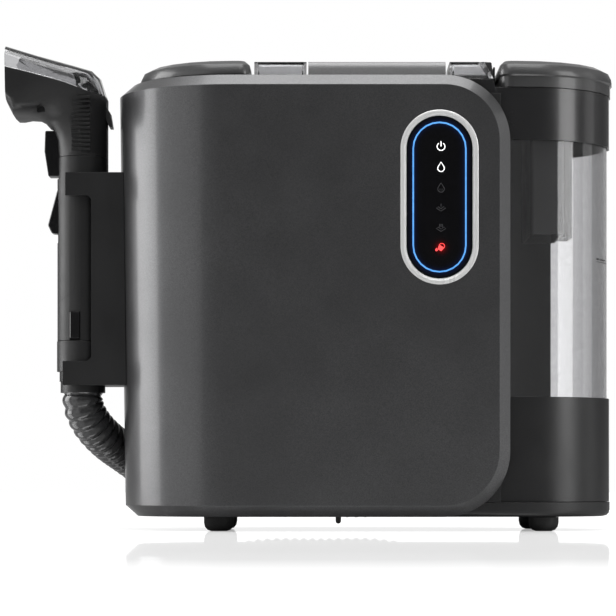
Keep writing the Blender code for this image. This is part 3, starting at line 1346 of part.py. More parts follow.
def build_suction_side():
    """The motor on its stand, the fan above it in its drum, and the air ducts to the dirty tank."""
    pan_z = PAN_TOP_Z + GAP
    stand_top = MOTOR_LOW_Z - GAP
    stand = upright_box(
        "motor_stand",
        MOTOR_X,
        BODY_Y,
        STAND_HALF_WIDTH,
        STAND_HALF_DEPTH,
        stand_top - STAND_PLATE,
        stand_top,
        BLACK_MATT,
    )
    for i, side_x in enumerate((-1, 1)):
        for j, side_y in enumerate((-1, 1)):
            x = MOTOR_X + side_x * (STAND_HALF_WIDTH - STAND_LEG_HALF)
            y = BODY_Y + side_y * (STAND_HALF_DEPTH - STAND_LEG_HALF)
            top = stand_top - STAND_PLATE / 2
            join(stand, upright_box(f"stand_leg_{i}{j}", x, y, STAND_LEG_HALF, STAND_LEG_HALF, pan_z, top))
    axis = (MOTOR_X, BODY_Y, 0)
    shaft_low = FAN_LOW_Z - SHAFT_LENGTH
    motor_top = DRUM_LOW_Z - GAP
    profile = [
        (0, motor_top),
        (MOTOR_NECK_RADIUS, motor_top),
        (MOTOR_NECK_RADIUS, motor_top - MOTOR_NECK_HEIGHT),
        (MOTOR_RADIUS, motor_top - MOTOR_NECK_HEIGHT),
        (MOTOR_RADIUS, MOTOR_LOW_Z),
        (0, MOTOR_LOW_Z),
    ]
    can = turned("suction_motor", profile, axis, MOTOR_GREY)
    shaft_hole = (MOTOR_X, BODY_Y, shaft_low - GAP), (MOTOR_X, BODY_Y, motor_top + OVERRUN)
    cut(can, cylinder("shaft_hole", *shaft_hole, SHAFT_RADIUS + GAP, sides=PIN_SIDES))
    drum = cylinder(
        "fan_drum", (MOTOR_X, BODY_Y, DRUM_LOW_Z), (MOTOR_X, BODY_Y, DRUM_HIGH_Z), DRUM_RADIUS, DARK_SHELL
    )
    hollow = (MOTOR_X, BODY_Y, DRUM_LOW_Z + WALL), (MOTOR_X, BODY_Y, DRUM_HIGH_Z - WALL)
    cut(drum, cylinder("drum_hollow", *hollow, DRUM_RADIUS - WALL))
    through = (MOTOR_X, BODY_Y, DRUM_LOW_Z - OVERRUN), (MOTOR_X, BODY_Y, DRUM_LOW_Z + 2 * WALL)
    cut(drum, cylinder("drum_shaft_hole", *through, SHAFT_RADIUS + SLIDE_GAP, sides=PIN_SIDES))
    eye = (MOTOR_X, BODY_Y, DRUM_HIGH_Z - 2 * WALL), (MOTOR_X, BODY_Y, DRUM_HIGH_Z + OVERRUN)
    cut(drum, cylinder("drum_eye", *eye, DRUM_EYE_RADIUS))
    vent = box(
        "drum_vent",
        (MOTOR_X - DRUM_EYE_RADIUS, BODY_Y + DRUM_RADIUS - 4 * WALL, DRUM_LOW_Z + 2 * WALL),
        (MOTOR_X + DRUM_EYE_RADIUS, BODY_Y + DRUM_RADIUS + OVERRUN, DRUM_HIGH_Z - 2 * WALL),
    )
    cut(drum, vent)
    build_fan(axis, shaft_low)
    flat_x = DIRTY_X - DIRTY_FLAT - BAY_CLEARANCE - BAY_WALL
    duct_right = flat_x - GAP
    duct = box(
        "air_duct",
        (MOTOR_X - AIR_DUCT_HALF, BODY_Y - AIR_DUCT_HALF, DRUM_HIGH_Z + GAP),
        (duct_right, BODY_Y + AIR_DUCT_HALF, BODY_TOP_Z - WELL_DEPTH - WALL - GAP),
        BLACK_MATT,
    )
    inner = box(
        "air_duct_hollow",
        (MOTOR_X - AIR_DUCT_HALF + WALL, OUTLET_LOW[0], OUTLET_LOW[1]),
        (duct_right + OVERRUN, OUTLET_HIGH[0], OUTLET_HIGH[1]),
    )
    eye_up = (MOTOR_X, BODY_Y, DRUM_HIGH_Z - OVERRUN), (MOTOR_X, BODY_Y, OUTLET_LOW[1] + WALL)
    cut(duct, inner, cylinder("duct_eye", *eye_up, DRUM_EYE_RADIUS - WALL))
    low_x, high_x = COUPLING_X - DUCT_BOX_HALF, COUPLING_X + DUCT_BOX_HALF
    riser = box(
        "suction_duct",
        (low_x, DUCT_FRONT_Y, DUCT_LOW_Z),
        (high_x, COUPLING_END_Y - GAP, INLET_HIGH[1] + WALL),
        BLACK_MATT,
    )
    branch = box(
        "suction_branch",
        (high_x - WALL, INLET_LOW[0] - WALL, INLET_LOW[1] - WALL),
        (duct_right, DUCT_FRONT_Y + 2 * WALL, INLET_HIGH[1] + WALL),
    )
    knee = box(
        "suction_knee",
        (low_x, INLET_LOW[0] - WALL, INLET_LOW[1] - WALL),
        (high_x, DUCT_FRONT_Y + WALL, INLET_HIGH[1] + WALL),
    )
    join(riser, knee, branch)
    riser_bore = box(
        "riser_bore",
        (low_x + WALL, DUCT_FRONT_Y + WALL, DUCT_LOW_Z + WALL),
        (high_x - WALL, COUPLING_END_Y - GAP - WALL, INLET_HIGH[1]),
    )
    branch_bore = box("branch_bore", (low_x + WALL, *INLET_LOW), (duct_right + OVERRUN, *INLET_HIGH))
    elbow = box(
        "elbow_bore",
        (low_x + WALL, INLET_LOW[0], INLET_LOW[1]),
        (high_x - WALL, DUCT_FRONT_Y + 2 * WALL, INLET_HIGH[1]),
    )
    mouth = cylinder(
        "duct_mouth",
        (COUPLING_X, COUPLING_END_Y - 3 * WALL, COUPLING_PIPE_Z),
        (COUPLING_X, COUPLING_END_Y + OVERRUN, COUPLING_PIPE_Z),
        COUPLING_BORE,
    )
    cut(riser, riser_bore, elbow, branch_bore, mouth)


def build_fan(axis, shaft_low):
    """The impeller: a back disc with curved blades round a hub, on its shaft."""
    profile = [
        (0, FAN_HIGH_Z),
        (FAN_HUB_RADIUS, FAN_HIGH_Z),
        (FAN_HUB_RADIUS, FAN_LOW_Z + FAN_DISC),
        (FAN_RADIUS, FAN_LOW_Z + FAN_DISC),
        (FAN_RADIUS, FAN_LOW_Z),
        (SHAFT_RADIUS, FAN_LOW_Z),
        (SHAFT_RADIUS, shaft_low),
        (0, shaft_low),
    ]
    fan = turned("suction_fan", profile, axis, MOTOR_GREY)
    for i in range(FAN_BLADES):
        start = 2 * math.pi * i / FAN_BLADES
        outer, inner = [], []
        for step in range(FAN_BLADE_STEPS + 1):
            share = step / FAN_BLADE_STEPS
            radius = FAN_HUB_RADIUS - WALL / 2 + (FAN_RADIUS - OVERRUN - FAN_HUB_RADIUS) * share
            angle = start + FAN_SWEEP * share
            half = FAN_BLADE_THICKNESS / 2 / radius
            outer.append(
                (MOTOR_X + radius * math.cos(angle + half), BODY_Y + radius * math.sin(angle + half))
            )
            inner.append(
                (MOTOR_X + radius * math.cos(angle - half), BODY_Y + radius * math.sin(angle - half))
            )
        blade = plate(
            f"fan_blade_{i}", [outer + inner[::-1]], FAN_LOW_Z + FAN_DISC / 2, FAN_HIGH_Z - FAN_BLADE_DROP
        )
        join(fan, blade)
    return fan


def smooth_route(points, steps):
    """A smooth curve through the points, with so many steps between each pair."""
    ends = [
        Vector(points[0]) * 2 - Vector(points[1]),
        *map(Vector, points),
        Vector(points[-1]) * 2 - Vector(points[-2]),
    ]
    route = []
    for before, start, end, after in zip(ends, ends[1:], ends[2:], ends[3:]):
        for step in range(steps):
            t = step / steps
            route.append(
                (start * 2 + (end - before) * t + (before * 2 - start * 5 + end * 4 - after) * t**2
                 + (start * 3 - before - end * 3 + after) * t**3) / 2
            )
    return [*route, ends[-2]]


def evenly_spaced(route, spacing):
    """Points along a route at equal distances, as near the spacing as its length allows."""
    lengths = [0]
    for start, end in zip(route, route[1:]):
        lengths.append(lengths[-1] + (end - start).length)
    count = round(lengths[-1] / spacing)
    points, i = [], 0
    for step in range(count + 1):
        goal = lengths[-1] * step / count
        while i < len(route) - 2 and lengths[i + 1] < goal:
            i += 1
        span = lengths[i + 1] - lengths[i]
        points.append(route[i].lerp(route[i + 1], (goal - lengths[i]) / span))
    return points


def least_gap(points, radius, apart):
    """The least free space between stretches of one tube that lie further apart than this along it."""
    spacing = (points[1] - points[0]).length
    skip = math.ceil(apart / spacing)
    nearest = min((a - b).length for i, a in enumerate(points) for b in points[i + skip :])
    return nearest - 2 * radius


def hose_route():
    """The hose's middle line: the lead-in from the collar, the turns on the back, the end in the coupling."""
    way_back = HOSE_PLANE_Y - BODY_Y
    route = [(TOOL_X + reach, BODY_Y + share * way_back, height) for reach, share, height in HOSE_LEAD]
    for x, z, radius, first, last in HOSE_TURNS:
        turn = arc((x, z), (radius, radius), first, last, HOSE_TURN_STEPS)
        route += [(u, HOSE_PLANE_Y, v) for u, v in turn]
    middle_z = (route[-1][2] + HOSE_END_Z) / 2
    route += [(COUPLING_X, HOSE_PLANE_Y, middle_z), (COUPLING_X, HOSE_PLANE_Y, HOSE_END_Z)]
    return smooth_route(route, HOSE_STEPS)


def build_hose():
    """The ribbed hose: from the tool's collar, round the back in one loop and a half, to the coupling."""
    points = evenly_spaced(hose_route(), RIB_PITCH / 2)
    smooth_ends = math.ceil(HOSE_CUFF / RIB_PITCH) * 2
    radii = []
    for i in range(len(points)):
        plain = i <= smooth_ends or i >= len(points) - 1 - smooth_ends
        radii.append(HOSE_RADIUS if plain or i % 2 else HOSE_ROOT_RADIUS)
    hose = radius_tube("suction_hose", points, radii, MOTOR_GREY)
    inner = points[HOSE_BORE_STRIDE:-HOSE_BORE_STRIDE:HOSE_BORE_STRIDE]
    core = [points[0] * 2 - points[1], points[1], *inner, points[-2], points[-1] * 2 - points[-2]]
    cut(hose, radius_tube("hose_bore", core, [HOSE_BORE_RADIUS] * len(core), None))
    ribs = sum(radius == HOSE_ROOT_RADIUS for radius in radii)
    length = sum((b - a).length for a, b in zip(points, points[1:]))
    gap = least_gap(points, HOSE_RADIUS, HOSE_LEAST_APART)
    print(f"suction_hose: {length:.3f} m, {ribs} ribs, least gap to itself {gap * 1000:.1f} mm")
    return hose


def build_hose_fittings():
    """The collar that the hand tool plugs into, the cuff under it, the coupling and the two hooks."""
    centre = (TOOL_X, BODY_Y, 0)
    socket, seat = SPIGOT_RADIUS + SLIDE_GAP, HOSE_RADIUS + GAP
    collar = [
        (socket, COLLAR_HIGH_Z),
        (HOSE_COLLAR_RADIUS, COLLAR_HIGH_Z),
        (HOSE_COLLAR_RADIUS, COLLAR_STEP_Z),
        (HOSE_COLLAR_RADIUS - COLLAR_STEP, COLLAR_STEP_Z),
        (HOSE_COLLAR_RADIUS - COLLAR_STEP, COLLAR_LOW_Z),
        (seat, COLLAR_LOW_Z),
        (seat, HOSE_LEAD[0][2] + GAP),
        (socket, HOSE_LEAD[0][2] + GAP),
    ]
    turned("hose_collar", collar, centre, DARK_SHELL, closed=True)
    cuff_top = COLLAR_LOW_Z - GAP
    cuff = [
        (seat, cuff_top),
        (CUFF_RADIUS, cuff_top),
        (CUFF_RADIUS, cuff_top - CUFF_LENGTH),
        (seat, cuff_top - CUFF_LENGTH),
    ]
    turned("hose_cuff", cuff, centre, RUBBER, closed=True)
    x, y, end_z = COUPLING_X, HOSE_PLANE_Y, HOSE_END_Z
    coupling = cylinder(
        "hose_coupling", (x, y, end_z - COUPLING_SLEEVE), (
            x, y, COUPLING_PIPE_Z + COUPLING_PIPE_RADIUS + WALL
        ),
        COUPLING_RADIUS, DARK_SHELL,
    )
    pipe = cylinder(
        "coupling_pipe", (x, COUPLING_END_Y, COUPLING_PIPE_Z), (x, y, COUPLING_PIPE_Z), COUPLING_PIPE_RADIUS
    )
    flange_low = REAR_Y + GAP
    flange = cylinder(
        "coupling_flange",
        (x, flange_low, COUPLING_PIPE_Z),
        (x, flange_low + WALL, COUPLING_PIPE_Z),
        COUPLING_FLANGE_RADIUS,
    )
    join(coupling, pipe, flange)
    low = (x, y, end_z - COUPLING_SLEEVE - OVERRUN)
    cut(coupling, cylinder("coupling_socket", low, (x, y, end_z + GAP), seat))
    cut(
        coupling,
        cylinder(
            "coupling_passage", low, (x, y, COUPLING_PIPE_Z + COUPLING_BORE / 2), COUPLING_BORE - WALL / 2
        ),
    )
    bore = (x, COUPLING_END_Y - OVERRUN, COUPLING_PIPE_Z), (x, y + COUPLING_BORE / 2, COUPLING_PIPE_Z)
    cut(coupling, cylinder("coupling_bore", *bore, COUPLING_BORE))
    for name, run_z, side in (("hose_hook_upper", HOSE_TOP_Z, 1), ("hose_hook_lower", HOSE_BOTTOM_Z, -1)):
        face = run_z - side * (HOSE_RADIUS + GAP)
        back = REAR_Y + GAP
        outline = [
            (back, face + side * HOOK_BASE),
            (back, face - side * HOOK_BASE),
            (back + HOOK_THICKNESS, face - side * HOOK_BASE),
            (back + HOOK_THICKNESS * 2, face - side * HOOK_THICKNESS),
            (HOOK_TIP_Y - HOOK_THICKNESS, face - side * HOOK_THICKNESS),
            (HOOK_TIP_Y, face),
            (HOOK_TIP_Y, face + side * HOOK_LIP),
            (HOOK_TIP_Y - HOOK_THICKNESS, face + side * HOOK_LIP),
            (HOOK_TIP_Y - HOOK_THICKNESS, face),
            (back + HOOK_THICKNESS, face),
            (back + HOOK_THICKNESS, face + side * HOOK_BASE),
        ]
        hook = plate(
            name, [outline], HOOK_X - HOOK_HALF_WIDTH, HOOK_X + HOOK_HALF_WIDTH, BLACK_MATT, axis="X"
        )
        rounded(hook, HOOK_THICKNESS / 4, 1)
    gland_back = REAR_Y + GAP
    gland = cylinder(
        "cable_gland",
        (GLAND_X, gland_back, GLAND_Z),
        (GLAND_X, gland_back + GLAND_FLANGE, GLAND_Z),
        GLAND_FLANGE_RADIUS,
        RUBBER,
    )
    nose = cylinder(
        "gland_nose",
        (GLAND_X, REAR_Y - GLAND_INSIDE, GLAND_Z),
        (GLAND_X, gland_back + GLAND_NOSE, GLAND_Z),
        GLAND_RADIUS,
        end_radius=GLAND_RADIUS - GLAND_TAPER,
    )
    join(gland, nose)
    bore = (GLAND_X, REAR_Y - GLAND_INSIDE - OVERRUN, GLAND_Z), (
        GLAND_X, gland_back + GLAND_NOSE + OVERRUN, GLAND_Z
    )
    cut(gland, cylinder("gland_bore", *bore, GLAND_BORE, sides=PIN_SIDES))


def build_cradle():
    """The side holder: two C-shaped cheeks, the wall between them and a slotted floor."""
    left, inner, right = CRADLE_LEFT_X, CRADLE_INNER_X, LEFT_END_X - HALF_DEPTH + CHAMFER_DEPTH
    cheek = [
        (left, CRADLE_TOP_Z),
        (left, CRADLE_ARM_TOP_Z),
        (inner - CRADLE_CORNER, CRADLE_ARM_TOP_Z),
        (inner, CRADLE_ARM_TOP_Z - CRADLE_CORNER),
        (inner, CRADLE_ARM_LOW_Z + CRADLE_CORNER),
        (inner - CRADLE_CORNER, CRADLE_ARM_LOW_Z),
        (left - CRADLE_FOOT, CRADLE_ARM_LOW_Z),
        (left - CRADLE_FOOT, CRADLE_LOW_Z),
        (right, CRADLE_LOW_Z),
        (right, CRADLE_TOP_Z),
    ]
    half = HOSE_COLLAR_RADIUS + CRADLE_CLEARANCE
    y_front, y_rear = BODY_Y - half, BODY_Y + half
    cradle = plate("tool_cradle", [cheek], y_front - CRADLE_WALL, y_front, BLACK_MATT, axis="Y")
    rear = plate("cradle_rear_cheek", [cheek], y_rear, y_rear + CRADLE_WALL, axis="Y")
    over = CRADLE_WALL / 2
    back_x = TOOL_X + HOSE_COLLAR_RADIUS + CRADLE_CLEARANCE
    back = box("cradle_back", (back_x, y_front - over, CRADLE_LOW_Z), (right, y_rear + over, CRADLE_TOP_Z))
    floor = box(
        "cradle_floor", (left - CRADLE_FOOT, y_front - over, CRADLE_LOW_Z), (
            right, y_rear + over, COLLAR_LOW_Z - GAP
        )
    )
    join(cradle, rear, back, floor)
    slot_half = CUFF_RADIUS + SLIDE_GAP
    slot = arc((TOOL_X, BODY_Y), (slot_half, slot_half), -90, 90, CORNER_STEPS * 2)
    slot += [
        (left - CRADLE_FOOT - OVERRUN, BODY_Y + slot_half),
        (left - CRADLE_FOOT - OVERRUN, BODY_Y - slot_half),
    ]
    cut(cradle, plate("cradle_slot", [slot], CRADLE_LOW_Z - OVERRUN, COLLAR_LOW_Z + OVERRUN))
    return cut(cradle, body_block("cradle_body_cut", GAP))


def tool_point(x, z):
    """A point of the hand tool's side view, given from the tool's axis."""
    return (TOOL_X + x, z)


def head_loft(name, stations, grow=0, look=None):
    """A skin over the head's sections, each from a front point to a back point and as wide as given."""
    rings = []
    for front, back, half_width, squareness in stations:
        front, back = Vector(tool_point(*front)), Vector(tool_point(*back))
        middle, reach = (front + back) / 2, (back - front) / 2
        reach *= 1 + grow / reach.length
        ring = []
        for i in range(HEAD_SIDES):
            angle = 2 * math.pi * i / HEAD_SIDES
            along, across = (
                math.copysign(abs(c) ** (2 / squareness), c) for c in (math.cos(angle), math.sin(angle))
            )
            x, z = middle + reach * along
            ring.append((x, BODY_Y + (half_width + grow) * across, z))
        rings.append(ring)
    return loft(name, rings, look, twisted=True)


def side_plate(name, outline, half_width, look=None):
    """An outline of the tool's side view made as thick as given, about the tool's middle plane."""
    points = [tool_point(*point) for point in outline]
    return plate(name, [points], BODY_Y - half_width, BODY_Y + half_width, look, axis="Y")


def head_half_width(z):
    """Half the head's width above the tool's axis at a height, between the two sections that enclose it."""
    widths = []
    for (front_x, front_z), (back_x, back_z), half_width, _ in HEAD_SECTIONS:
        if back_x > 0:
            widths.append((front_z - (back_z - front_z) * front_x / (back_x - front_x), half_width))
    for (low_z, low_width), (high_z, high_width) in zip(widths, widths[1:]):
        if z <= high_z:
            return low_width + (high_width - low_width) * (z - low_z) / (high_z - low_z)
    return widths[-1][1]


def grip_ribs():
    """Raised bars across both sides of the head, a little outside its surface."""
    ribs = []
    for i in range(GRIP_RIBS):
        low = GRIP_LOW_Z + i * GRIP_PITCH
        high = low + GRIP_PITCH / 2
        reach = head_half_width(high) + RIB_PROUD
        corner = (TOOL_X - GRIP_HALF_WIDTH, BODY_Y - reach, low)
        ribs.append(box(f"grip_rib_{i}", corner, (TOOL_X + GRIP_HALF_WIDTH, BODY_Y + reach, high)))
    return ribs


def build_tool_head():
    """The head: a dark shell, the clear window over its channel, the baffle inside and the nozzle."""
    left, right = WINDOW_SPLIT[0], WINDOW_SPLIT[-1]
    for name, look, shift, edge_z in (
        ("tool_head", DARK_SHELL, -SPLIT_GAP / 2, HANDLE_HIGH_Z - HEAD_WIDEST),
        ("tool_window", SMOKE, SPLIT_GAP / 2, HEAD_TOP_Z + OVERRUN),
    ):
        shell = head_loft(name, HEAD_SECTIONS, look=look)
        if name == "tool_head":
            head = join(shell, *grip_ribs())
        cut(shell, head_loft(name + "_channel", CHANNEL_SECTIONS))
        keep = [(x, z + shift) for x, z in WINDOW_SPLIT] + [(right[0], edge_z), (left[0], edge_z)]
        combine(shell, side_plate(name + "_side", keep, HEAD_WIDEST), "INTERSECT")
    join(head, side_plate("head_lip", HEAD_LIP, HEAD_LIP_HALF_WIDTH))
    cut(head, side_plate("head_trigger_slot", TRIGGER_SLOT, TRIGGER_HALF_WIDTH + GAP))
    pin = [
        (*point[:1], y, *point[1:]) for point in [tool_point(*TRIGGER_PIVOT)] for y in (
            BODY_Y - TRIGGER_PIN_HALF, BODY_Y + TRIGGER_PIN_HALF
        )
    ]
    over = Vector((0, GAP, 0))
    cut(
        head,
        cylinder(
            "head_pin_hole", Vector(pin[0]) - over, Vector(pin[1]) + over, PIN_RADIUS + GAP, sides=PIN_SIDES
        ),
    )
    cylinder("trigger_pin", *pin, PIN_RADIUS, STEEL, sides=PIN_SIDES)
    well_x, well_z = tool_point(*SCREW_WELL)
    for side in (-1, 1):
        floor = (well_x, BODY_Y + side * SCREW_WELL_FLOOR, well_z)
        mouth = (well_x, BODY_Y + side * HEAD_WIDEST, well_z)
        cut(head, cylinder(f"screw_well_{side + 1}", floor, mouth, SCREW_WELL_RADIUS))
    x, z = tool_point(*NOZZLE_CORNER)
    y = NOZZLE_HALF_WIDTH
    nozzle = box(
        "steam_nozzle", (x, BODY_Y - y, z), (x + NOZZLE_DEPTH, BODY_Y + y, z + NOZZLE_HEIGHT), PIPE_WHITE
    )
    for i in range(NOZZLE_JETS):
        jet_y = BODY_Y + y * ((i + 1 / 2) / NOZZLE_JETS * 2 - 1)
        jet = (x - OVERRUN, jet_y, z + NOZZLE_HEIGHT / 2), (
            x + NOZZLE_DEPTH / 2, jet_y, z + NOZZLE_HEIGHT / 2
        )
        cut(nozzle, cylinder(f"nozzle_jet_{i}", *jet, NOZZLE_JET_RADIUS, sides=PIN_SIDES))
    seat_low = (x - OVERRUN, BODY_Y - y - GAP, z - GAP)
    cut(
        head,
        box("nozzle_seat", seat_low, (x + NOZZLE_DEPTH + GAP, BODY_Y + y + GAP, z + NOZZLE_HEIGHT + GAP)),
    )
    curve = smooth_route([(x, 0, z) for x, z in BAFFLE_LINE], EDGE_STEPS)
    upper = [(p.x, p.z + BAFFLE_THICKNESS) for p in curve]
    lower = [(p.x - BAFFLE_THICKNESS / 2, p.z) for p in curve]
    baffle = side_plate("tool_baffle", upper + lower[::-1], HEAD_WIDEST, BLACK_MATT)
    combine(baffle, head_loft("baffle_edge", CHANNEL_SECTIONS, -GAP), "INTERSECT")


def build_tool_handle():
    """The round handle with its spigot below, and the trigger, thumb lock and release tab in their slots."""
    centre = (TOOL_X, BODY_Y, 0)
    profile = [
        (0, HANDLE_HIGH_Z),
        (NECK_RADIUS, HANDLE_HIGH_Z),
        (NECK_RADIUS, HANDLE_LOW_Z),
        (SPIGOT_RADIUS, HANDLE_LOW_Z),
        (SPIGOT_RADIUS, SPIGOT_LOW_Z),
        (0, SPIGOT_LOW_Z),
    ]
    handle = turned("tool_handle", profile, centre, DARK_SHELL, sides=ROUND_SIDES * 2)
    low = (TOOL_X, BODY_Y, SPIGOT_LOW_Z - OVERRUN), (TOOL_X, BODY_Y, HANDLE_LOW_Z + WALL)
    cut(handle, cylinder("spigot_bore", *low, CHANNEL_RADIUS))
    x = TOOL_X + CHANNEL_SHIFT
    high = (x, BODY_Y, HANDLE_LOW_Z - WALL), (x, BODY_Y, HANDLE_HIGH_Z + OVERRUN)
    cut(handle, cylinder("handle_bore", *high, CHANNEL_RADIUS))
    cut(handle, side_plate("handle_trigger_slot", TRIGGER_SLOT, TRIGGER_HALF_WIDTH + GAP))
    trigger = side_plate("trigger", TRIGGER_OUTLINE, TRIGGER_HALF_WIDTH, BLACK_MATT)
    rounded(trigger, TRIGGER_ROUND, 2)
    over = Vector((0, TRIGGER_PIN_HALF, 0))
    x, z = tool_point(*TRIGGER_PIVOT)
    pivot = Vector((x, BODY_Y, z))
    cut(trigger, cylinder("trigger_bore", pivot - over, pivot + over, PIN_RADIUS + GAP, sides=PIN_SIDES))
    lock = side_plate("thumb_lock", LOCK_OUTLINE, LOCK_HALF_WIDTH, BLACK_MATT)
    rounded(lock, LOCK_ROUND, 1)
    track_low = tool_point(LOCK_OUTLINE[0][0] - 3 * OVERRUN, LOCK_LOW_Z - LOCK_TRAVEL - SLIDE_GAP)
    track_high = tool_point(LOCK_INNER_X + GAP, LOCK_HIGH_Z + SLIDE_GAP)
    half = LOCK_HALF_WIDTH + GAP
    cut(
        handle,
        box(
            "lock_track",
            (track_low[0], BODY_Y - half, track_low[1]),
            (track_high[0], BODY_Y + half, track_high[1]),
        ),
    )
    front = BODY_Y - NECK_RADIUS - TAB_PROUD
    left, right = TOOL_X + TAB_LEFT_X, TOOL_X + TAB_RIGHT_X
    tab = box(
        "release_tab", (left, front, TAB_LOW_Z), (right, front + TAB_THICKNESS, TAB_HIGH_Z), BLACK_MATT
    )
    rounded(tab, TAB_ROUND, 1)
    back = front + TAB_THICKNESS + TAB_TRAVEL + SLIDE_GAP
    cut(
        handle,
        box(
            "tab_slot",
            (left - GAP, front - OVERRUN, HANDLE_LOW_Z - OVERRUN),
            (right + GAP, back, TAB_HIGH_Z + GAP),
        ),
    )


def main():
    build_front_shell()
    build_rear_cover()
    build_feet(build_base_pan())
    build_bay_wall()
    build_top_deck()
    build_carry_handle()
    build_buttons()
    build_control_panel()
    build_dirty_tank()
    build_clean_tank()
    build_water_side()
    build_suction_side()
    build_hose()
    build_hose_fittings()
    build_cradle()
    build_tool_head()
    build_tool_handle()


main()
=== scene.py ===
"""Looks of a portable steam and suction cleaner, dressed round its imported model.

The front faces -Y, +Z is up, and all lengths are in metres in the model's own frame.
"""

import logging
import math
from dataclasses import dataclass
from enum import Enum
from functools import cache

import bmesh
import bpy
from bmesh.types import BMesh, BMVert
from bpy.types import ID, Material, Mesh, Node, NodeSocket, NodeTree, Object, ShaderNodeTree
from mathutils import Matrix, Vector
from mathutils.bvhtree import BVHTree


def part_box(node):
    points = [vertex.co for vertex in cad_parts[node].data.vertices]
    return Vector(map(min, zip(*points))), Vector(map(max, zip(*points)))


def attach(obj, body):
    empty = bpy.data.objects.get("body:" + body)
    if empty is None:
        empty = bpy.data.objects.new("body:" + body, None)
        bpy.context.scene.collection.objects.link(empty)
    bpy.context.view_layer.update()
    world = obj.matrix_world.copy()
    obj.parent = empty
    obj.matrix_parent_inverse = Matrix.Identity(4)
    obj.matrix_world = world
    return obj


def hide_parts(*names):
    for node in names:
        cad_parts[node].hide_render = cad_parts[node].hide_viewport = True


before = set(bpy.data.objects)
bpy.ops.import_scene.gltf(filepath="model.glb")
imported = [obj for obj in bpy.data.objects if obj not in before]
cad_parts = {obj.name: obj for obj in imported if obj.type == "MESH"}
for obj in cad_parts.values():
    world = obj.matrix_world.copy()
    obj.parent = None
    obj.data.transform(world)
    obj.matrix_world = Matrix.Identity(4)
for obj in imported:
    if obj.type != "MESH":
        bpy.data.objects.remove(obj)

LOG = logging.getLogger("steam_cleaner")
WELD = 0.000001
SMOOTH_ANGLE = math.radians(32)
HEAD_ANGLE = math.radians(48)
BUMP_STRENGTH = 0.5
EDGE_SAMPLES = 4
NUMBER, PLACE, TINT, SHAPE = (
    "NodeSocketFloat", "NodeSocketVector", "NodeSocketColor", "NodeSocketGeometry")
WHITE = (1.0, 1.0, 1.0, 1.0)
Colour = tuple[float, float, float]
Point = tuple[float, float, float]
Flat = tuple[float, float]


class Pattern(Enum):
    """The fine relief that a finish carries."""

    MOULDED = "moulded"
    FLAKE = "flake"
    BRUSHED = "brushed"
    CLEAR = "clear"


@dataclass
class Graph:
    """A node tree, with short ways to add nodes to it and to wire them."""

    tree: NodeTree

    def wire(self, node: Node, inputs: dict[str | int, object]) -> None:
        """Sets a node's inputs, or links those that are given a socket.

        Args:
            node: the node.
            inputs: for each named or numbered input its value or socket.
        """
        for label, value in inputs.items():
            if isinstance(value, NodeSocket):
                self.tree.links.new(value, node.inputs[label])
            else:
                node.inputs[label].default_value = value

    def add(self, kind: str, inputs: dict[str | int, object] | None = None, **options: object) -> Node:
        """Adds a node.

        Args:
            kind: the node's type.
            inputs: for each named or numbered input its value, or the socket that feeds it.
            options: the node's own settings, which are set before its inputs.

        Returns:
            The new node.
        """
        node = self.tree.nodes.new(kind)
        for label, option in options.items():
            setattr(node, label, option)
        self.wire(node, inputs or {})
        return node

    def calculate(self, kind: str, *values: object) -> NodeSocket:
        """Adds one math node and returns its result."""
        return self.add("ShaderNodeMath", dict(enumerate(values)), operation=kind).outputs[0]


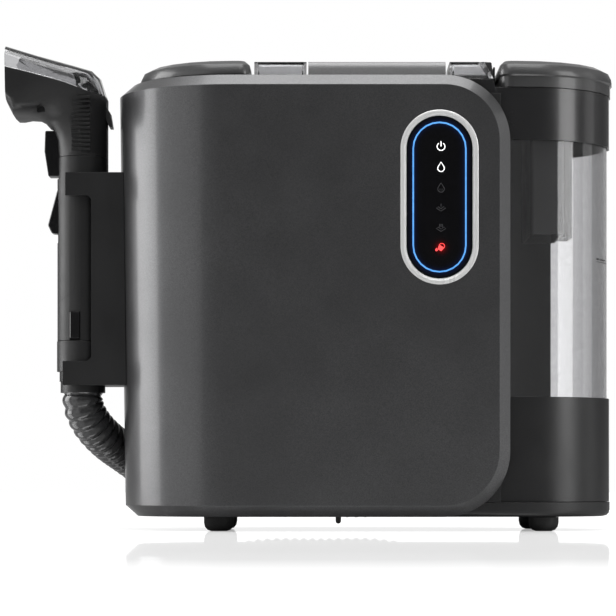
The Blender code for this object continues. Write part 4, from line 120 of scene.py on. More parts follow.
class Effects:
    """Shader node groups shared by the finishes. Each gives a value or a colour, never a shader."""

    @staticmethod
    def start(name: str, inputs: dict[str, str]) -> tuple[Graph, dict[str, NodeSocket]]:
        """Starts a node group.

        Args:
            name: the group's name.
            inputs: socket names and their types.

        Returns:
            The group's graph, and the sockets that give what is passed in.
        """
        tree = bpy.data.node_groups.new(name, "ShaderNodeTree")
        for label, kind in inputs.items():
            tree.interface.new_socket(name=label, in_out="INPUT", socket_type=kind)
        given = tree.nodes.new("NodeGroupInput").outputs
        return Graph(tree), {label: given[label] for label in inputs}

    @staticmethod
    def end(graph: Graph, label: str, kind: str, result: NodeSocket) -> ShaderNodeTree:
        """Gives a group its one output, and returns its tree.

        Args:
            graph: the group's graph.
            label: the output's name.
            kind: its socket type.
            result: the socket that feeds it.

        Returns:
            The finished group.
        """
        graph.tree.interface.new_socket(name=label, in_out="OUTPUT", socket_type=kind)
        graph.add("NodeGroupOutput", {label: result})
        return graph.tree

    @staticmethod
    @cache
    def relief() -> ShaderNodeTree:
        """Height of a moulded surface: fine grain on slow waves.

        Returns:
            The group.
        """
        graph, given = Effects.start("moulded_relief", {"Place": PLACE, "Fineness": NUMBER})
        fine = graph.add("ShaderNodeTexNoise", {
            "Vector": given["Place"], "Scale": given["Fineness"], "Detail": 3.0})
        slow = graph.add("ShaderNodeTexNoise", {"Vector": given["Place"], "Scale": 22.0, "Detail": 1.0})
        height = graph.calculate("MULTIPLY_ADD", fine.outputs["Fac"], 0.8, slow.outputs["Fac"])
        return Effects.end(graph, "Height", NUMBER, height)

    @staticmethod
    @cache
    def gloss() -> ShaderNodeTree:
        """Roughness that drifts a little with handling marks.

        Returns:
            The group.
        """
        graph, given = Effects.start("handled_gloss", {"Place": PLACE, "Low": NUMBER, "High": NUMBER})
        marks = graph.add("ShaderNodeTexNoise", {
            "Vector": given["Place"], "Scale": 34.0, "Detail": 5.0, "Roughness": 0.62})
        spread = graph.add("ShaderNodeMapRange", {
            "Value": marks.outputs["Fac"], "From Min": 0.3, "From Max": 0.7,
            "To Min": given["Low"], "To Max": given["High"]})
        return Effects.end(graph, "Roughness", NUMBER, spread.outputs["Result"])

    @staticmethod
    @cache
    def tint() -> ShaderNodeTree:
        """Colour that drifts between two near shades, in cells as fine as the finish asks for.

        Returns:
            The group.
        """
        graph, given = Effects.start("shade_drift", {
            "Place": PLACE, "Fineness": NUMBER, "Dark": TINT, "Light": TINT})
        flakes = graph.add("ShaderNodeTexVoronoi", {
            "Vector": given["Place"], "Scale": given["Fineness"]}, feature="F1")
        drift = graph.add("ShaderNodeTexNoise", {"Vector": given["Place"], "Scale": 9.0, "Detail": 2.0})
        bright = graph.add("ShaderNodeSeparateColor", {"Color": flakes.outputs["Color"]})
        share = graph.calculate("MULTIPLY", bright.outputs["Red"], drift.outputs["Fac"])
        blend = graph.add("ShaderNodeMix", {
            "Factor": share, "A": given["Dark"], "B": given["Light"]}, data_type="RGBA")
        return Effects.end(graph, "Colour", TINT, blend.outputs["Result"])

    @staticmethod
    @cache
    def glow() -> ShaderNodeTree:
        """Colour that fades on both sides of an upright oval line, or round a point where it has no height.

        Returns:
            The group.
        """
        graph, given = Effects.start("glow_round_line", {
            "Place": PLACE, "Middle": PLACE, "Half Height": NUMBER, "Radius": NUMBER,
            "Reach": NUMBER, "Glow": TINT})
        step = graph.calculate
        away = graph.add("ShaderNodeVectorMath", {0: given["Place"], 1: given["Middle"]}, operation="SUBTRACT")
        split = graph.add("ShaderNodeSeparateXYZ", {"Vector": away.outputs["Vector"]}).outputs
        rise = step("MAXIMUM", step("SUBTRACT", step("ABSOLUTE", split["Z"]), given["Half Height"]), 0.0)
        squares = step("ADD", step("POWER", step("ABSOLUTE", split["X"]), 2.0), step("POWER", rise, 2.0))
        off = step("ABSOLUTE", step("SUBTRACT", step("SQRT", squares), given["Radius"]))
        fade = step("EXPONENT", step("MULTIPLY", step("DIVIDE", off, given["Reach"]), -1.0))
        shade = graph.add("ShaderNodeVectorMath", {0: given["Glow"], "Scale": fade}, operation="SCALE")
        return Effects.end(graph, "Colour", TINT, shade.outputs["Vector"])


@dataclass(frozen=True)
class Finish:
    """One surface finish of the cleaner, with its slot in the record and its procedural material."""

    name: str
    slot: str
    dark: Colour
    light: Colour
    rough_low: float
    rough_high: float
    pattern: Pattern = Pattern.MOULDED
    fineness: float = 900.0
    depth: float = 0.00003
    metallic: float = 0.0
    coat: float = 0.0
    coat_roughness: float = 0.05
    clear: float = 0.0
    ior: float = 1.5
    glow: float = 0.0
    edge: float = 0.0
    rim: float = 1.0
    rim_from: Flat = (0.12, 0.50)
    brush_stretch: Point = (1.0, 1.0, 0.03)

    @cache
    def material(self) -> Material:
        """Builds the finish's material once, and returns it.

        Returns:
            The material.
        """
        made = bpy.data.materials.new(self.name)
        made.use_nodes = True
        graph = Graph(made.node_tree)
        shader = made.node_tree.nodes["Principled BSDF"]
        place = graph.add("ShaderNodeTexCoord").outputs["Object"]
        if self.pattern is Pattern.BRUSHED:
            place = graph.add("ShaderNodeMapping", {
                "Vector": place, "Scale": self.brush_stretch}).outputs["Vector"]
        tint = graph.add("ShaderNodeGroup", {
            "Place": place, "Fineness": self.fineness, "Dark": (*self.dark, 1.0),
            "Light": (*self.light, 1.0)}, node_tree=Effects.tint()).outputs["Colour"]
        gloss = graph.add("ShaderNodeGroup", {
            "Place": place, "Low": self.rough_low, "High": self.rough_high}, node_tree=Effects.gloss())
        graph.wire(shader, {
            "Metallic": self.metallic, "IOR": self.ior, "Coat Weight": self.coat,
            "Coat Roughness": self.coat_roughness, "Transmission Weight": self.clear,
            "Base Color": self.deepened(graph, tint) if self.rim < 1.0 else tint,
            "Roughness": gloss.outputs["Roughness"]})
        if self.glow:
            graph.wire(shader, {"Emission Color": (*self.light, 1.0), "Emission Strength": self.glow})
        if self.pattern is not Pattern.CLEAR:
            relief = graph.add("ShaderNodeGroup", {
                "Place": place, "Fineness": self.fineness}, node_tree=Effects.relief())
            bump = graph.add("ShaderNodeBump", {
                "Strength": BUMP_STRENGTH, "Distance": self.depth, "Height": relief.outputs["Height"]})
            graph.wire(shader, {"Normal": bump.outputs["Normal"]})
            if self.edge:
                soft = graph.add("ShaderNodeBevel", {"Radius": self.edge}, samples=EDGE_SAMPLES)
                graph.wire(bump, {"Normal": soft.outputs["Normal"]})
        return made

    def deepened(self, graph: Graph, colour: NodeSocket) -> NodeSocket:
        """Darkens a clear wall where the light crosses it at a slant, as tinted plastic does.

        Args:
            graph: the material's graph.
            colour: the wall's own colour.

        Returns:
            The darkened colour.
        """
        slant = graph.add("ShaderNodeLayerWeight", {"Blend": 0.5})
        share = graph.add("ShaderNodeMapRange", {
            "Value": slant.outputs["Facing"], "From Min": self.rim_from[0], "From Max": self.rim_from[1],
            "To Min": 1.0, "To Max": self.rim})
        shade = graph.add("ShaderNodeVectorMath", {
            0: colour, "Scale": share.outputs["Result"]}, operation="SCALE")
        return shade.outputs["Vector"]


@dataclass(frozen=True)
class LitGlass(Finish):
    """Black glass with the glow that its light line and its red sign spread in it."""

    middle: Point = (0.1002, 0.0, 0.2512)
    half_height: float = 0.0363
    line_radius: float = 0.0197
    line_reach: float = 0.0011
    line_glow: Colour = (0.002, 0.012, 0.075)
    sign: Point = (0.1013, 0.0, 0.2134)
    sign_radius: float = 0.0022
    sign_reach: float = 0.0011
    sign_glow: Colour = (0.16, 0.0, 0.0)

    @cache
    def material(self) -> Material:
        """Builds the glass with its two glows once, and returns it.

        Returns:
            The material.
        """
        made = super().material()
        graph = Graph(made.node_tree)
        place = graph.add("ShaderNodeTexCoord").outputs["Object"]
        glows = ((self.middle, self.half_height, self.line_radius, self.line_reach, self.line_glow),
                 (self.sign, 0.0, self.sign_radius, self.sign_reach, self.sign_glow))
        total = graph.add("ShaderNodeVectorMath", {
            i: graph.add("ShaderNodeGroup", {
                "Place": place, "Middle": middle, "Half Height": height, "Radius": radius,
                "Reach": reach, "Glow": (*colour, 1.0)}, node_tree=Effects.glow()).outputs["Colour"]
            for i, (middle, height, radius, reach, colour) in enumerate(glows)})
        shader = made.node_tree.nodes["Principled BSDF"]
        graph.wire(shader, {"Emission Color": total.outputs["Vector"]})
        return made


GRAPHITE = Finish("graphite_satin", "graphite_shell",
                  (0.064, 0.064, 0.066), (0.134, 0.134, 0.137), 0.32, 0.38,
                  Pattern.FLAKE, 2600.0, 0.000012, 0.72, coat=0.35, coat_roughness=0.12, edge=0.0006)
DARK_SHELL = Finish("dark_shell_satin", "dark_shell",
                    (0.005, 0.005, 0.0053), (0.010, 0.010, 0.0106), 0.30, 0.38,
                    fineness=1500.0, edge=0.0004)
DARK_GLOSS = Finish("dark_shell_polished", "dark_shell",
                    (0.011, 0.011, 0.0115), (0.018, 0.018, 0.019), 0.22, 0.28,
                    fineness=1800.0, depth=0.000003, coat=0.3, coat_roughness=0.10, edge=0.0006)
# Dark grey of the lids and the button's end, lighter than the other dark shell finishes so that their upward
# faces look brighter: partly their own tone, partly painted light from above.
LID_GREY_TOP_LIT = Finish("lid_grey_satin_top_lit", "dark_shell", (0.034, 0.034, 0.0345), (0.048, 0.048, 0.049), 0.28, 0.36,
                  fineness=1500.0, depth=0.000004, coat=0.3, coat_roughness=0.10, edge=0.0006)
BLACK_MATT = Finish("black_matt_plastic", "black_matt",
                    (0.0035, 0.0035, 0.0038), (0.008, 0.008, 0.0085), 0.40, 0.52,
                    fineness=1400.0, edge=0.0004)
BLACK_GLOSS = Finish("black_polished_plastic", "black_gloss",
                     (0.006, 0.006, 0.0065), (0.010, 0.010, 0.011), 0.12, 0.2,
                     fineness=500.0, depth=0.000006, edge=0.0004)
HANDLE_GREY = Finish("handle_grey_satin", "handle_grey", (0.20, 0.20, 0.202), (0.26, 0.26, 0.262), 0.26, 0.34,
                     fineness=1500.0, depth=0.00001, edge=0.0005)
WINDOW_SMOKE = Finish("window_deep_smoke", "smoke_clear", (0.50, 0.50, 0.51), (0.56, 0.56, 0.57), 0.03, 0.06,
                      Pattern.CLEAR, 300.0, clear=1.0, ior=1.46, rim=0.7)
BUTTON_CORE = Finish("button_core_pale", "smoke_clear",
                     (0.84, 0.84, 0.85), (0.92, 0.92, 0.93), 0.3, 0.4, Pattern.CLEAR)
BUTTON_SMOKE = Finish("button_pale_smoke", "smoke_clear", (0.76, 0.76, 0.77), (0.84, 0.84, 0.85), 0.03, 0.06,
                      Pattern.CLEAR, 300.0, clear=1.0, ior=1.46)
SMOKE = Finish("smoke_tinted_clear", "smoke_clear", (0.74, 0.74, 0.75), (0.82, 0.82, 0.83), 0.02, 0.05,
               Pattern.CLEAR, 300.0, clear=1.0, ior=1.46, rim=0.45)
WATER_CLEAR = Finish("water_clear_plastic", "water_clear", (0.80, 0.82, 0.84), (0.88, 0.9, 0.92), 0.03, 0.07,
                     Pattern.CLEAR, 300.0, clear=1.0, ior=1.46)
SILVER = Finish("bezel_bright_silver", "bezel_silver", (0.70, 0.70, 0.695), (0.78, 0.78, 0.775), 0.22, 0.30,
                Pattern.BRUSHED, 1800.0, 0.000003, 0.25, coat=0.6, edge=0.0006)
BLUE_LIGHT = Finish("light_line_blue", "light_blue", (0.02, 0.11, 0.28), (0.10, 0.32, 0.72), 0.3, 0.4,
                    Pattern.CLEAR, 300.0, glow=1.0)
SEAM = Finish("seam_shadow", "black_matt",
              (0.004, 0.004, 0.004), (0.008, 0.008, 0.008), 0.6, 0.7, Pattern.CLEAR)
MARK_GREY = Finish("level_mark_grey", "inner_grey",
                   (0.10, 0.10, 0.10), (0.13, 0.13, 0.13), 0.5, 0.6, Pattern.CLEAR)
RUBBER = Finish("rubber_matt_black", "rubber_black", (0.006, 0.006, 0.006), (0.012, 0.012, 0.012), 0.62, 0.78,
                fineness=1100.0, edge=0.0004)
HOSE = Finish("hose_grey_half_gloss", "hose_grey", (0.026, 0.026, 0.027), (0.048, 0.048, 0.050), 0.16, 0.26,
              fineness=800.0, depth=0.00001, coat=0.4)
STEEL = Finish("bare_satin_steel", "steel_bright", (0.38, 0.38, 0.39), (0.52, 0.52, 0.53), 0.24, 0.34,
               Pattern.BRUSHED, 1600.0, 0.000008, 1.0)
MOTOR = Finish("motor_grey_metal", "motor_grey", (0.13, 0.13, 0.14), (0.19, 0.19, 0.2), 0.34, 0.46,
               Pattern.BRUSHED, 900.0, metallic=0.7)
INNER = Finish("inner_grey_plastic", "inner_grey", (0.15, 0.15, 0.16), (0.2, 0.2, 0.21), 0.4, 0.52)
PIPE = Finish("pipe_off_white", "pipe_white", (0.54, 0.54, 0.52), (0.66, 0.66, 0.64), 0.36, 0.46)
BOARD = Finish("board_green_lacquer", "board_green", (0.006, 0.09, 0.03), (0.012, 0.14, 0.05), 0.26, 0.36)
WHITE_SIGN = Finish("sign_lit_white", "light_blue", (0.8, 0.8, 0.8), (0.95, 0.95, 0.95), 0.4, 0.5,
                    Pattern.CLEAR, glow=1.6)
DIM_SIGN = Finish("sign_unlit_grey", "inner_grey",
                  (0.07, 0.07, 0.075), (0.10, 0.10, 0.105), 0.4, 0.5, Pattern.CLEAR)
RED_SIGN = Finish("sign_lit_red", "light_blue", (0.8, 0.05, 0.05), (1.0, 0.07, 0.07), 0.4, 0.5,
                  Pattern.CLEAR, glow=1.2)
PANEL_BLACK = LitGlass("panel_black_glass", "black_gloss",
                       (0.0015, 0.0015, 0.002), (0.003, 0.003, 0.004), 0.05, 0.09,
                       fineness=300.0, depth=0.000002, glow=1.0)


class Shop:
    """Turns meshes into finished pieces: linked, dressed and riding on their body."""

    @staticmethod
    def link(name: str, data: ID) -> Object:
        """Makes an object of some data and links it to the scene.

        Args:
            name: the object's name.
            data: its mesh, curve, light or camera.

        Returns:
            The new object.
        """
        made = bpy.data.objects.new(name, data)
        bpy.context.scene.collection.objects.link(made)
        return made

    @staticmethod
    def piece(name: str, mesh: Mesh, body: str, finish: Finish) -> Object:
        """Links a mesh as a piece at the origin.

        Args:
            name: the piece's name.
            mesh: its mesh, already in its place.
            body: the body that it rides on.
            finish: its finish.

        Returns:
            The new object.
        """
        made = Shop.link(name, mesh)
        Shop.dress(made, finish)
        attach(made, body)
        LOG.info("%s: %d faces on %s", name, len(mesh.polygons), body)
        return made

    @staticmethod
    def dress(made: Object, finish: Finish) -> None:
        """Gives every material slot of an object one finish.

        Args:
            made: the object.
            finish: its finish.
        """
        if not made.material_slots:
            made.data.materials.append(finish.material())
        for slot in made.material_slots:
            slot.material = finish.material()

    @staticmethod
    def nodes(finish: Finish, *names: str) -> None:
        """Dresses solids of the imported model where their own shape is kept.

        Args:
            finish: their finish.
            names: the solids' names.
        """
        for name in names:
            Shop.dress(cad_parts[name], finish)
            LOG.info("%s: dressed as %s", name, finish.name)

    @staticmethod
    def refined(node: str, body: str, finish: Finish, angle: float = SMOOTH_ANGLE) -> Object:
        """Copies a solid, welds it and gives it smooth skin between its true edges.

        Args:
            node: the solid, which the copy then stands for.
            body: the body that it rides on.
            finish: its finish.
            angle: edges that turn more than this stay sharp.

        Returns:
            The new piece.
        """
        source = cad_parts[node].data
        shape = bmesh.new()
        corners = [shape.verts.new(vertex.co) for vertex in source.vertices]
        for polygon in source.polygons:
            shape.faces.new([corners[i] for i in polygon.vertices])
        bmesh.ops.remove_doubles(shape, verts=shape.verts, dist=WELD)
        for face in shape.faces:
            face.smooth = True
        for edge in shape.edges:
            edge.smooth = len(edge.link_faces) == 2 and edge.calc_face_angle(0.0) < angle
        made = Shop.piece(node + "_skin", Shop.mesh(node + "_skin", shape), body, finish)
        weighted = made.modifiers.new("true_flats", "WEIGHTED_NORMAL")
        weighted.keep_sharp = True
        weighted.mode = "FACE_AREA_WITH_ANGLE"
        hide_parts(node)
        return made

    @staticmethod
    def skins(body: str, *dressed: tuple[str, Finish]) -> None:
        """Refines several solids of one body, each given with its finish."""
        for node, finish in dressed:
            Shop.refined(node, body, finish)

    @staticmethod
    def mesh(name: str, shape: BMesh) -> Mesh:
        """Ends a mesh under construction as a plain mesh.

        Args:
            name: the mesh's name.
            shape: the mesh under construction, which is freed.

        Returns:
            The plain mesh.
        """
        made = bpy.data.meshes.new(name)
        shape.to_mesh(made)
        shape.free()
        return made

    @staticmethod
    def from_shape(name: str, shape: BMesh, body: str, finish: Finish) -> Object:
        """Ends a mesh under construction as a piece, with its faces turned outwards."""
        bmesh.ops.recalc_face_normals(shape, faces=shape.faces)
        return Shop.piece(name, Shop.mesh(name, shape), body, finish)


class Loft:
    """Faces between rings of corners that have the same count."""

    @staticmethod
    def band(shape: BMesh, one: list[BMVert], other: list[BMVert]) -> None:
        """Joins two rings by a strip of faces.

        Args:
            shape: the mesh that takes the faces.
            one: the first ring.
            other: the second ring.
        """
        for i, corner in enumerate(one):
            j = (i + 1) % len(one)
            shape.faces.new((corner, one[j], other[j], other[i]))

    @staticmethod
    def tube(shape: BMesh, rings: list[list[BMVert]], closed: bool = False) -> None:
        """Joins rings one after another, with a lid at each end where the last doesn't meet the first.

        Args:
            shape: the mesh that takes the faces.
            rings: the rings in order.
            closed: whether the last ring meets the first.
        """
        for one, other in zip(rings, rings[1:] + rings[:1] if closed else rings[1:]):
            Loft.band(shape, one, other)
        if not closed:
            shape.faces.new(rings[0])
            shape.faces.new(rings[-1][::-1])


class Outline:
    """Flat shapes for signs, given as x and z."""

    @staticmethod
    def arc(centre: Flat, radius: float, start: float, end: float, steps: int = 20) -> list[Flat]:
        """Points on a circle's arc, with the angles in degrees."""
        turns = [math.radians(start + (end - start) * i / steps) for i in range(steps + 1)]
        return [(centre[0] + radius * math.cos(a), centre[1] + radius * math.sin(a)) for a in turns]

    @staticmethod
    def drop(centre: Flat, size: float) -> list[Flat]:
        """A water drop's closed outline, pointed at its top.

        Args:
            centre: its middle, as x and z.
            size: its height.

        Returns:
            Its outline.
        """
        radius = size * 0.34
        middle = (centre[0], centre[1] - size * 0.14)
        low = Outline.arc(middle, radius, 32, -212, 24)
        return low + [(centre[0], centre[1] + size * 0.5)]

    @staticmethod
    def stroke(shape: BMesh, line: list[Flat], width: float, front: float, depth: float,
               closed: bool = False) -> None:
        """Adds a raised line of one width along flat points.

        Args:
            shape: the mesh that takes the line.
            line: its middle points, as x and z.
            width: the line's width.
            front: the y of its front.
            depth: its thickness.
            closed: whether its end joins its start.
        """
        count = len(line)
        sections = []
        for i, (x, z) in enumerate(line):
            before = line[(i - 1) % count] if closed or i else line[0]
            after = line[(i + 1) % count] if closed or i < count - 1 else line[-1]
            along = Vector((after[0] - before[0], after[1] - before[1])).normalized()
            across = Vector((-along.y, along.x)) * width / 2
            sections.append([shape.verts.new((x + side * across.x, y, z + side * across.y)) for side, y in (
                (1, front), (-1, front), (-1, front + depth), (1, front + depth))])
        Loft.tube(shape, sections, closed)

    @staticmethod
    def fill(shape: BMesh, line: list[Flat], front: float, depth: float) -> None:
        """Adds a raised filled shape with the given outline.

        Args:
            shape: the mesh that takes the faces.
            line: the outline, as x and z.
            front: the y of its front.
            depth: its thickness.
        """
        near = [shape.verts.new((x, front, z)) for x, z in line]
        far = [shape.verts.new((x, front + depth, z)) for x, z in line]
        shape.faces.new(near)
        shape.faces.new(far[::-1])
        count = len(line)
        for i in range(count):
            j = (i + 1) % count
            shape.faces.new((near[i], far[i], far[j], near[j]))


class Patterns:
    """Geometry Nodes for what repeats or follows a path."""

    @staticmethod
    def start(name: str, sizes: dict[str, float]) -> tuple[Graph, dict[str, NodeSocket]]:
        """Starts a tree with a geometry input and output and named sizes.

        Args:
            name: the tree's name.
            sizes: the named sizes with their values.

        Returns:
            The tree's graph, and the sockets that give the geometry and the sizes.
        """
        tree = bpy.data.node_groups.new(name, "GeometryNodeTree")
        tree.interface.new_socket(name="Geometry", in_out="INPUT", socket_type=SHAPE)
        for label, value in sizes.items():
            tree.interface.new_socket(name=label, in_out="INPUT", socket_type=NUMBER).default_value = value
        tree.interface.new_socket(name="Geometry", in_out="OUTPUT", socket_type=SHAPE)
        given = tree.nodes.new("NodeGroupInput").outputs
        return Graph(tree), {label: given[label] for label in ("Geometry", *sizes)}

    @staticmethod
    def apply(tree: NodeTree, base: Object, sizes: dict[str, float], name: str) -> Mesh:
        """Runs a tree on a helper object and returns the plain mesh.

        Args:
            tree: the tree to run.
            base: the linked helper that gives the points or the path. It is removed.
            sizes: values for the tree's named inputs.
            name: the mesh's name.

        Returns:
            The mesh that the tree made.
        """
        modifier = base.modifiers.new(tree.name, "NODES")
        modifier.node_group = tree
        ids = {item.name: item.identifier for item in tree.interface.items_tree if item.in_out == "INPUT"}
        for label, value in sizes.items():
            modifier[ids[label]] = value
        base.update_tag()
        graph = bpy.context.evaluated_depsgraph_get()
        mesh = bpy.data.meshes.new_from_object(base.evaluated_get(graph))
        base.modifiers.remove(modifier)
        mesh.name = name
        bpy.data.objects.remove(base)
        return mesh

    @staticmethod
    def close(graph: Graph, last: NodeSocket, finish: Finish) -> None:
        """Ends a tree in Realize Instances and Set Material.

        Args:
            graph: the tree's graph.
            last: the geometry so far.
            finish: the finish that it is set in.
        """
        real = graph.add("GeometryNodeRealizeInstances", {0: last})
        paint = graph.add("GeometryNodeSetMaterial", {
            "Geometry": real.outputs[0], "Material": finish.material()})
        graph.add("NodeGroupOutput", {"Geometry": paint.outputs["Geometry"]})

    @staticmethod
    def points(name: str, places: list[Point], normal: Point) -> Object:
        """A helper mesh of loose points that all face one way, for instances.

        Args:
            name: the helper's name.
            places: the points.
            normal: the way they face.

        Returns:
            The linked helper.
        """
        mesh = bpy.data.meshes.new(name)
        mesh.from_pydata(places, [], [])
        facing = mesh.attributes.new("facing", "FLOAT_VECTOR", "POINT")
        facing.data.foreach_set("vector", [value for _ in places for value in normal])
        return Shop.link(name, mesh)


@dataclass
class SurfaceLine:
    """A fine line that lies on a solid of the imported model, drawn from the front, the back or both."""

    node: str
    body: str
    finish: Finish
    width: float = 0.0005
    proud: float = 0.00006
    step: float = 0.0015
    reach: float = 0.4
    least_facing: float = 0.15
    sunk: float = 0.00024

    def even(self, line: list[Flat]) -> list[Vector]:
        """Points along a flat line at short, even steps, with its corners rounded by one pass.

        Args:
            line: the flat line's corners.

        Returns:
            The points.
        """
        made = []
        for (x, z), (next_x, next_z) in zip(line, line[1:]):
            count = max(1, round(math.hypot(next_x - x, next_z - z) / self.step))
            made += [Vector((x + (next_x - x) * i / count, z + (next_z - z) * i / count)) for i in range(count)]
        made.append(Vector(line[-1]))
        inner = [(a + b * 2 + c) / 4 for a, b, c in zip(made, made[1:], made[2:])]
        return [made[0]] + inner + [made[-1]]

    def build(self, name: str, lines: list[list[Flat]], sides: tuple[int, ...] = (-1,)) -> Object:
        """Lays the lines on the solid.

        Args:
            name: the piece's name.
            lines: flat lines, as x and z.
            sides: -1 draws on the front of the solid and 1 on its back.

        Returns:
            One piece with all the lines.
        """
        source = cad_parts[self.node].data
        surface = BVHTree.FromPolygons(
            [v.co for v in source.vertices], [tuple(p.vertices) for p in source.polygons])
        shape = bmesh.new()
        for side in sides:
            for line in lines:
                hits = []
                for place in self.even(line):
                    hit, normal, _, _ = surface.ray_cast(Vector((place.x, side * self.reach, place.y)),
                                                         Vector((0, -side, 0)))
                    if hit is not None and normal.y * side > self.least_facing:
                        hits.append((hit, normal))
                self.ribbon(shape, hits)
        return Shop.from_shape(name, shape, self.body, self.finish)

    def ribbon(self, shape: BMesh, hits: list[tuple[Vector, Vector]]) -> None:
        """Adds one closed strip over the points, each with its surface normal.

        Args:
            shape: the mesh that takes the strip.
            hits: points on the surface with their normals.
        """
        if len(hits) < 3:
            return
        sections = []
        for i, (place, normal) in enumerate(hits):
            along = (hits[min(i + 1, len(hits) - 1)][0] - hits[max(i - 1, 0)][0]).normalized()
            across = normal.cross(along).normalized() * self.width / 2
            high, low = normal * self.proud, normal * -self.sunk
            sections.append([shape.verts.new(place + offset) for offset in (
                across + high, high - across, low - across, across + low)])
        Loft.tube(shape, sections)


@dataclass
class Fasteners:
    """Cross-head screws, let into the faces that they hold."""

    radius: float = 0.0031
    height: float = 0.0011
    slot: float = 0.0009
    sides: int = 24
    bevel: Flat = (0.86, 0.2)
    arm: float = 0.62
    slot_taper: float = 0.8
    slot_depth: float = 0.75

    def cross(self, x: float, y: float) -> float:
        """How far the cross's outline lies from the middle along a direction.

        Args:
            x: the direction's x.
            y: its y.

        Returns:
            The distance.
        """
        arm, half = self.radius * self.arm, self.slot / 2
        x, y = max(abs(x), 1e-6), max(abs(y), 1e-6)
        return max(min(arm / x, half / y), min(arm / y, half / x))

    def head(self) -> Object:
        """One screw head with its cross, as a helper that faces +Z.

        Returns:
            The helper.
        """
        shape = bmesh.new()
        turns = [math.tau * i / self.sides for i in range(self.sides)]
        facing = [(math.cos(a), math.sin(a)) for a in turns]
        rings = ((self.radius, -self.height), (self.radius, -self.height * self.bevel[1]),
                 (self.radius * self.bevel[0], 0.0))
        rows = [[shape.verts.new((radius * x, radius * y, z)) for x, y in facing] for radius, z in rings]
        inner = [shape.verts.new((x * self.cross(x, y), y * self.cross(x, y), 0.0)) for x, y in facing]
        low = -self.height * self.slot_depth
        deep = [shape.verts.new((v.co.x * self.slot_taper, v.co.y * self.slot_taper, low)) for v in inner]
        rows += [inner, deep]
        for one, other in zip(rows, rows[1:]):
            Loft.band(shape, one, other)
        shape.faces.new(rows[0][::-1])
        shape.faces.new(deep)
        bmesh.ops.recalc_face_normals(shape, faces=shape.faces)
        return Shop.link("screw_head", Shop.mesh("screw_head", shape))

    def build(self, name: str, places: list[Point], normal: Point, body: str, finish: Finish) -> Object:
        """Sets a screw head at each place.

        Args:
            name: the piece's name.
            places: the middle of each head's face.
            normal: the way that the heads face.
            body: the body that carries them.
            finish: their finish.

        Returns:
            One piece with all the heads.
        """
        graph, given = Patterns.start("screw_heads", {"Scale": 1.0})
        head = self.head()
        source = graph.add("GeometryNodeObjectInfo", {"Object": head})
        facing = graph.add("GeometryNodeInputNamedAttribute", {"Name": "facing"}, data_type="FLOAT_VECTOR")
        turn = graph.add("FunctionNodeAlignRotationToVector", {"Vector": facing.outputs["Attribute"]}, axis="Z")
        put = graph.add("GeometryNodeInstanceOnPoints", {
            "Points": given["Geometry"], "Instance": source.outputs["Geometry"],
            "Rotation": turn.outputs["Rotation"], "Scale": given["Scale"]})
        Patterns.close(graph, put.outputs["Instances"], finish)
        points = Patterns.points(name + "_places", places, normal)
        mesh = Patterns.apply(graph.tree, points, {"Scale": 1.0}, name)
        bpy.data.objects.remove(head)
        bpy.data.node_groups.remove(graph.tree)
        return Shop.piece(name, mesh, body, finish)


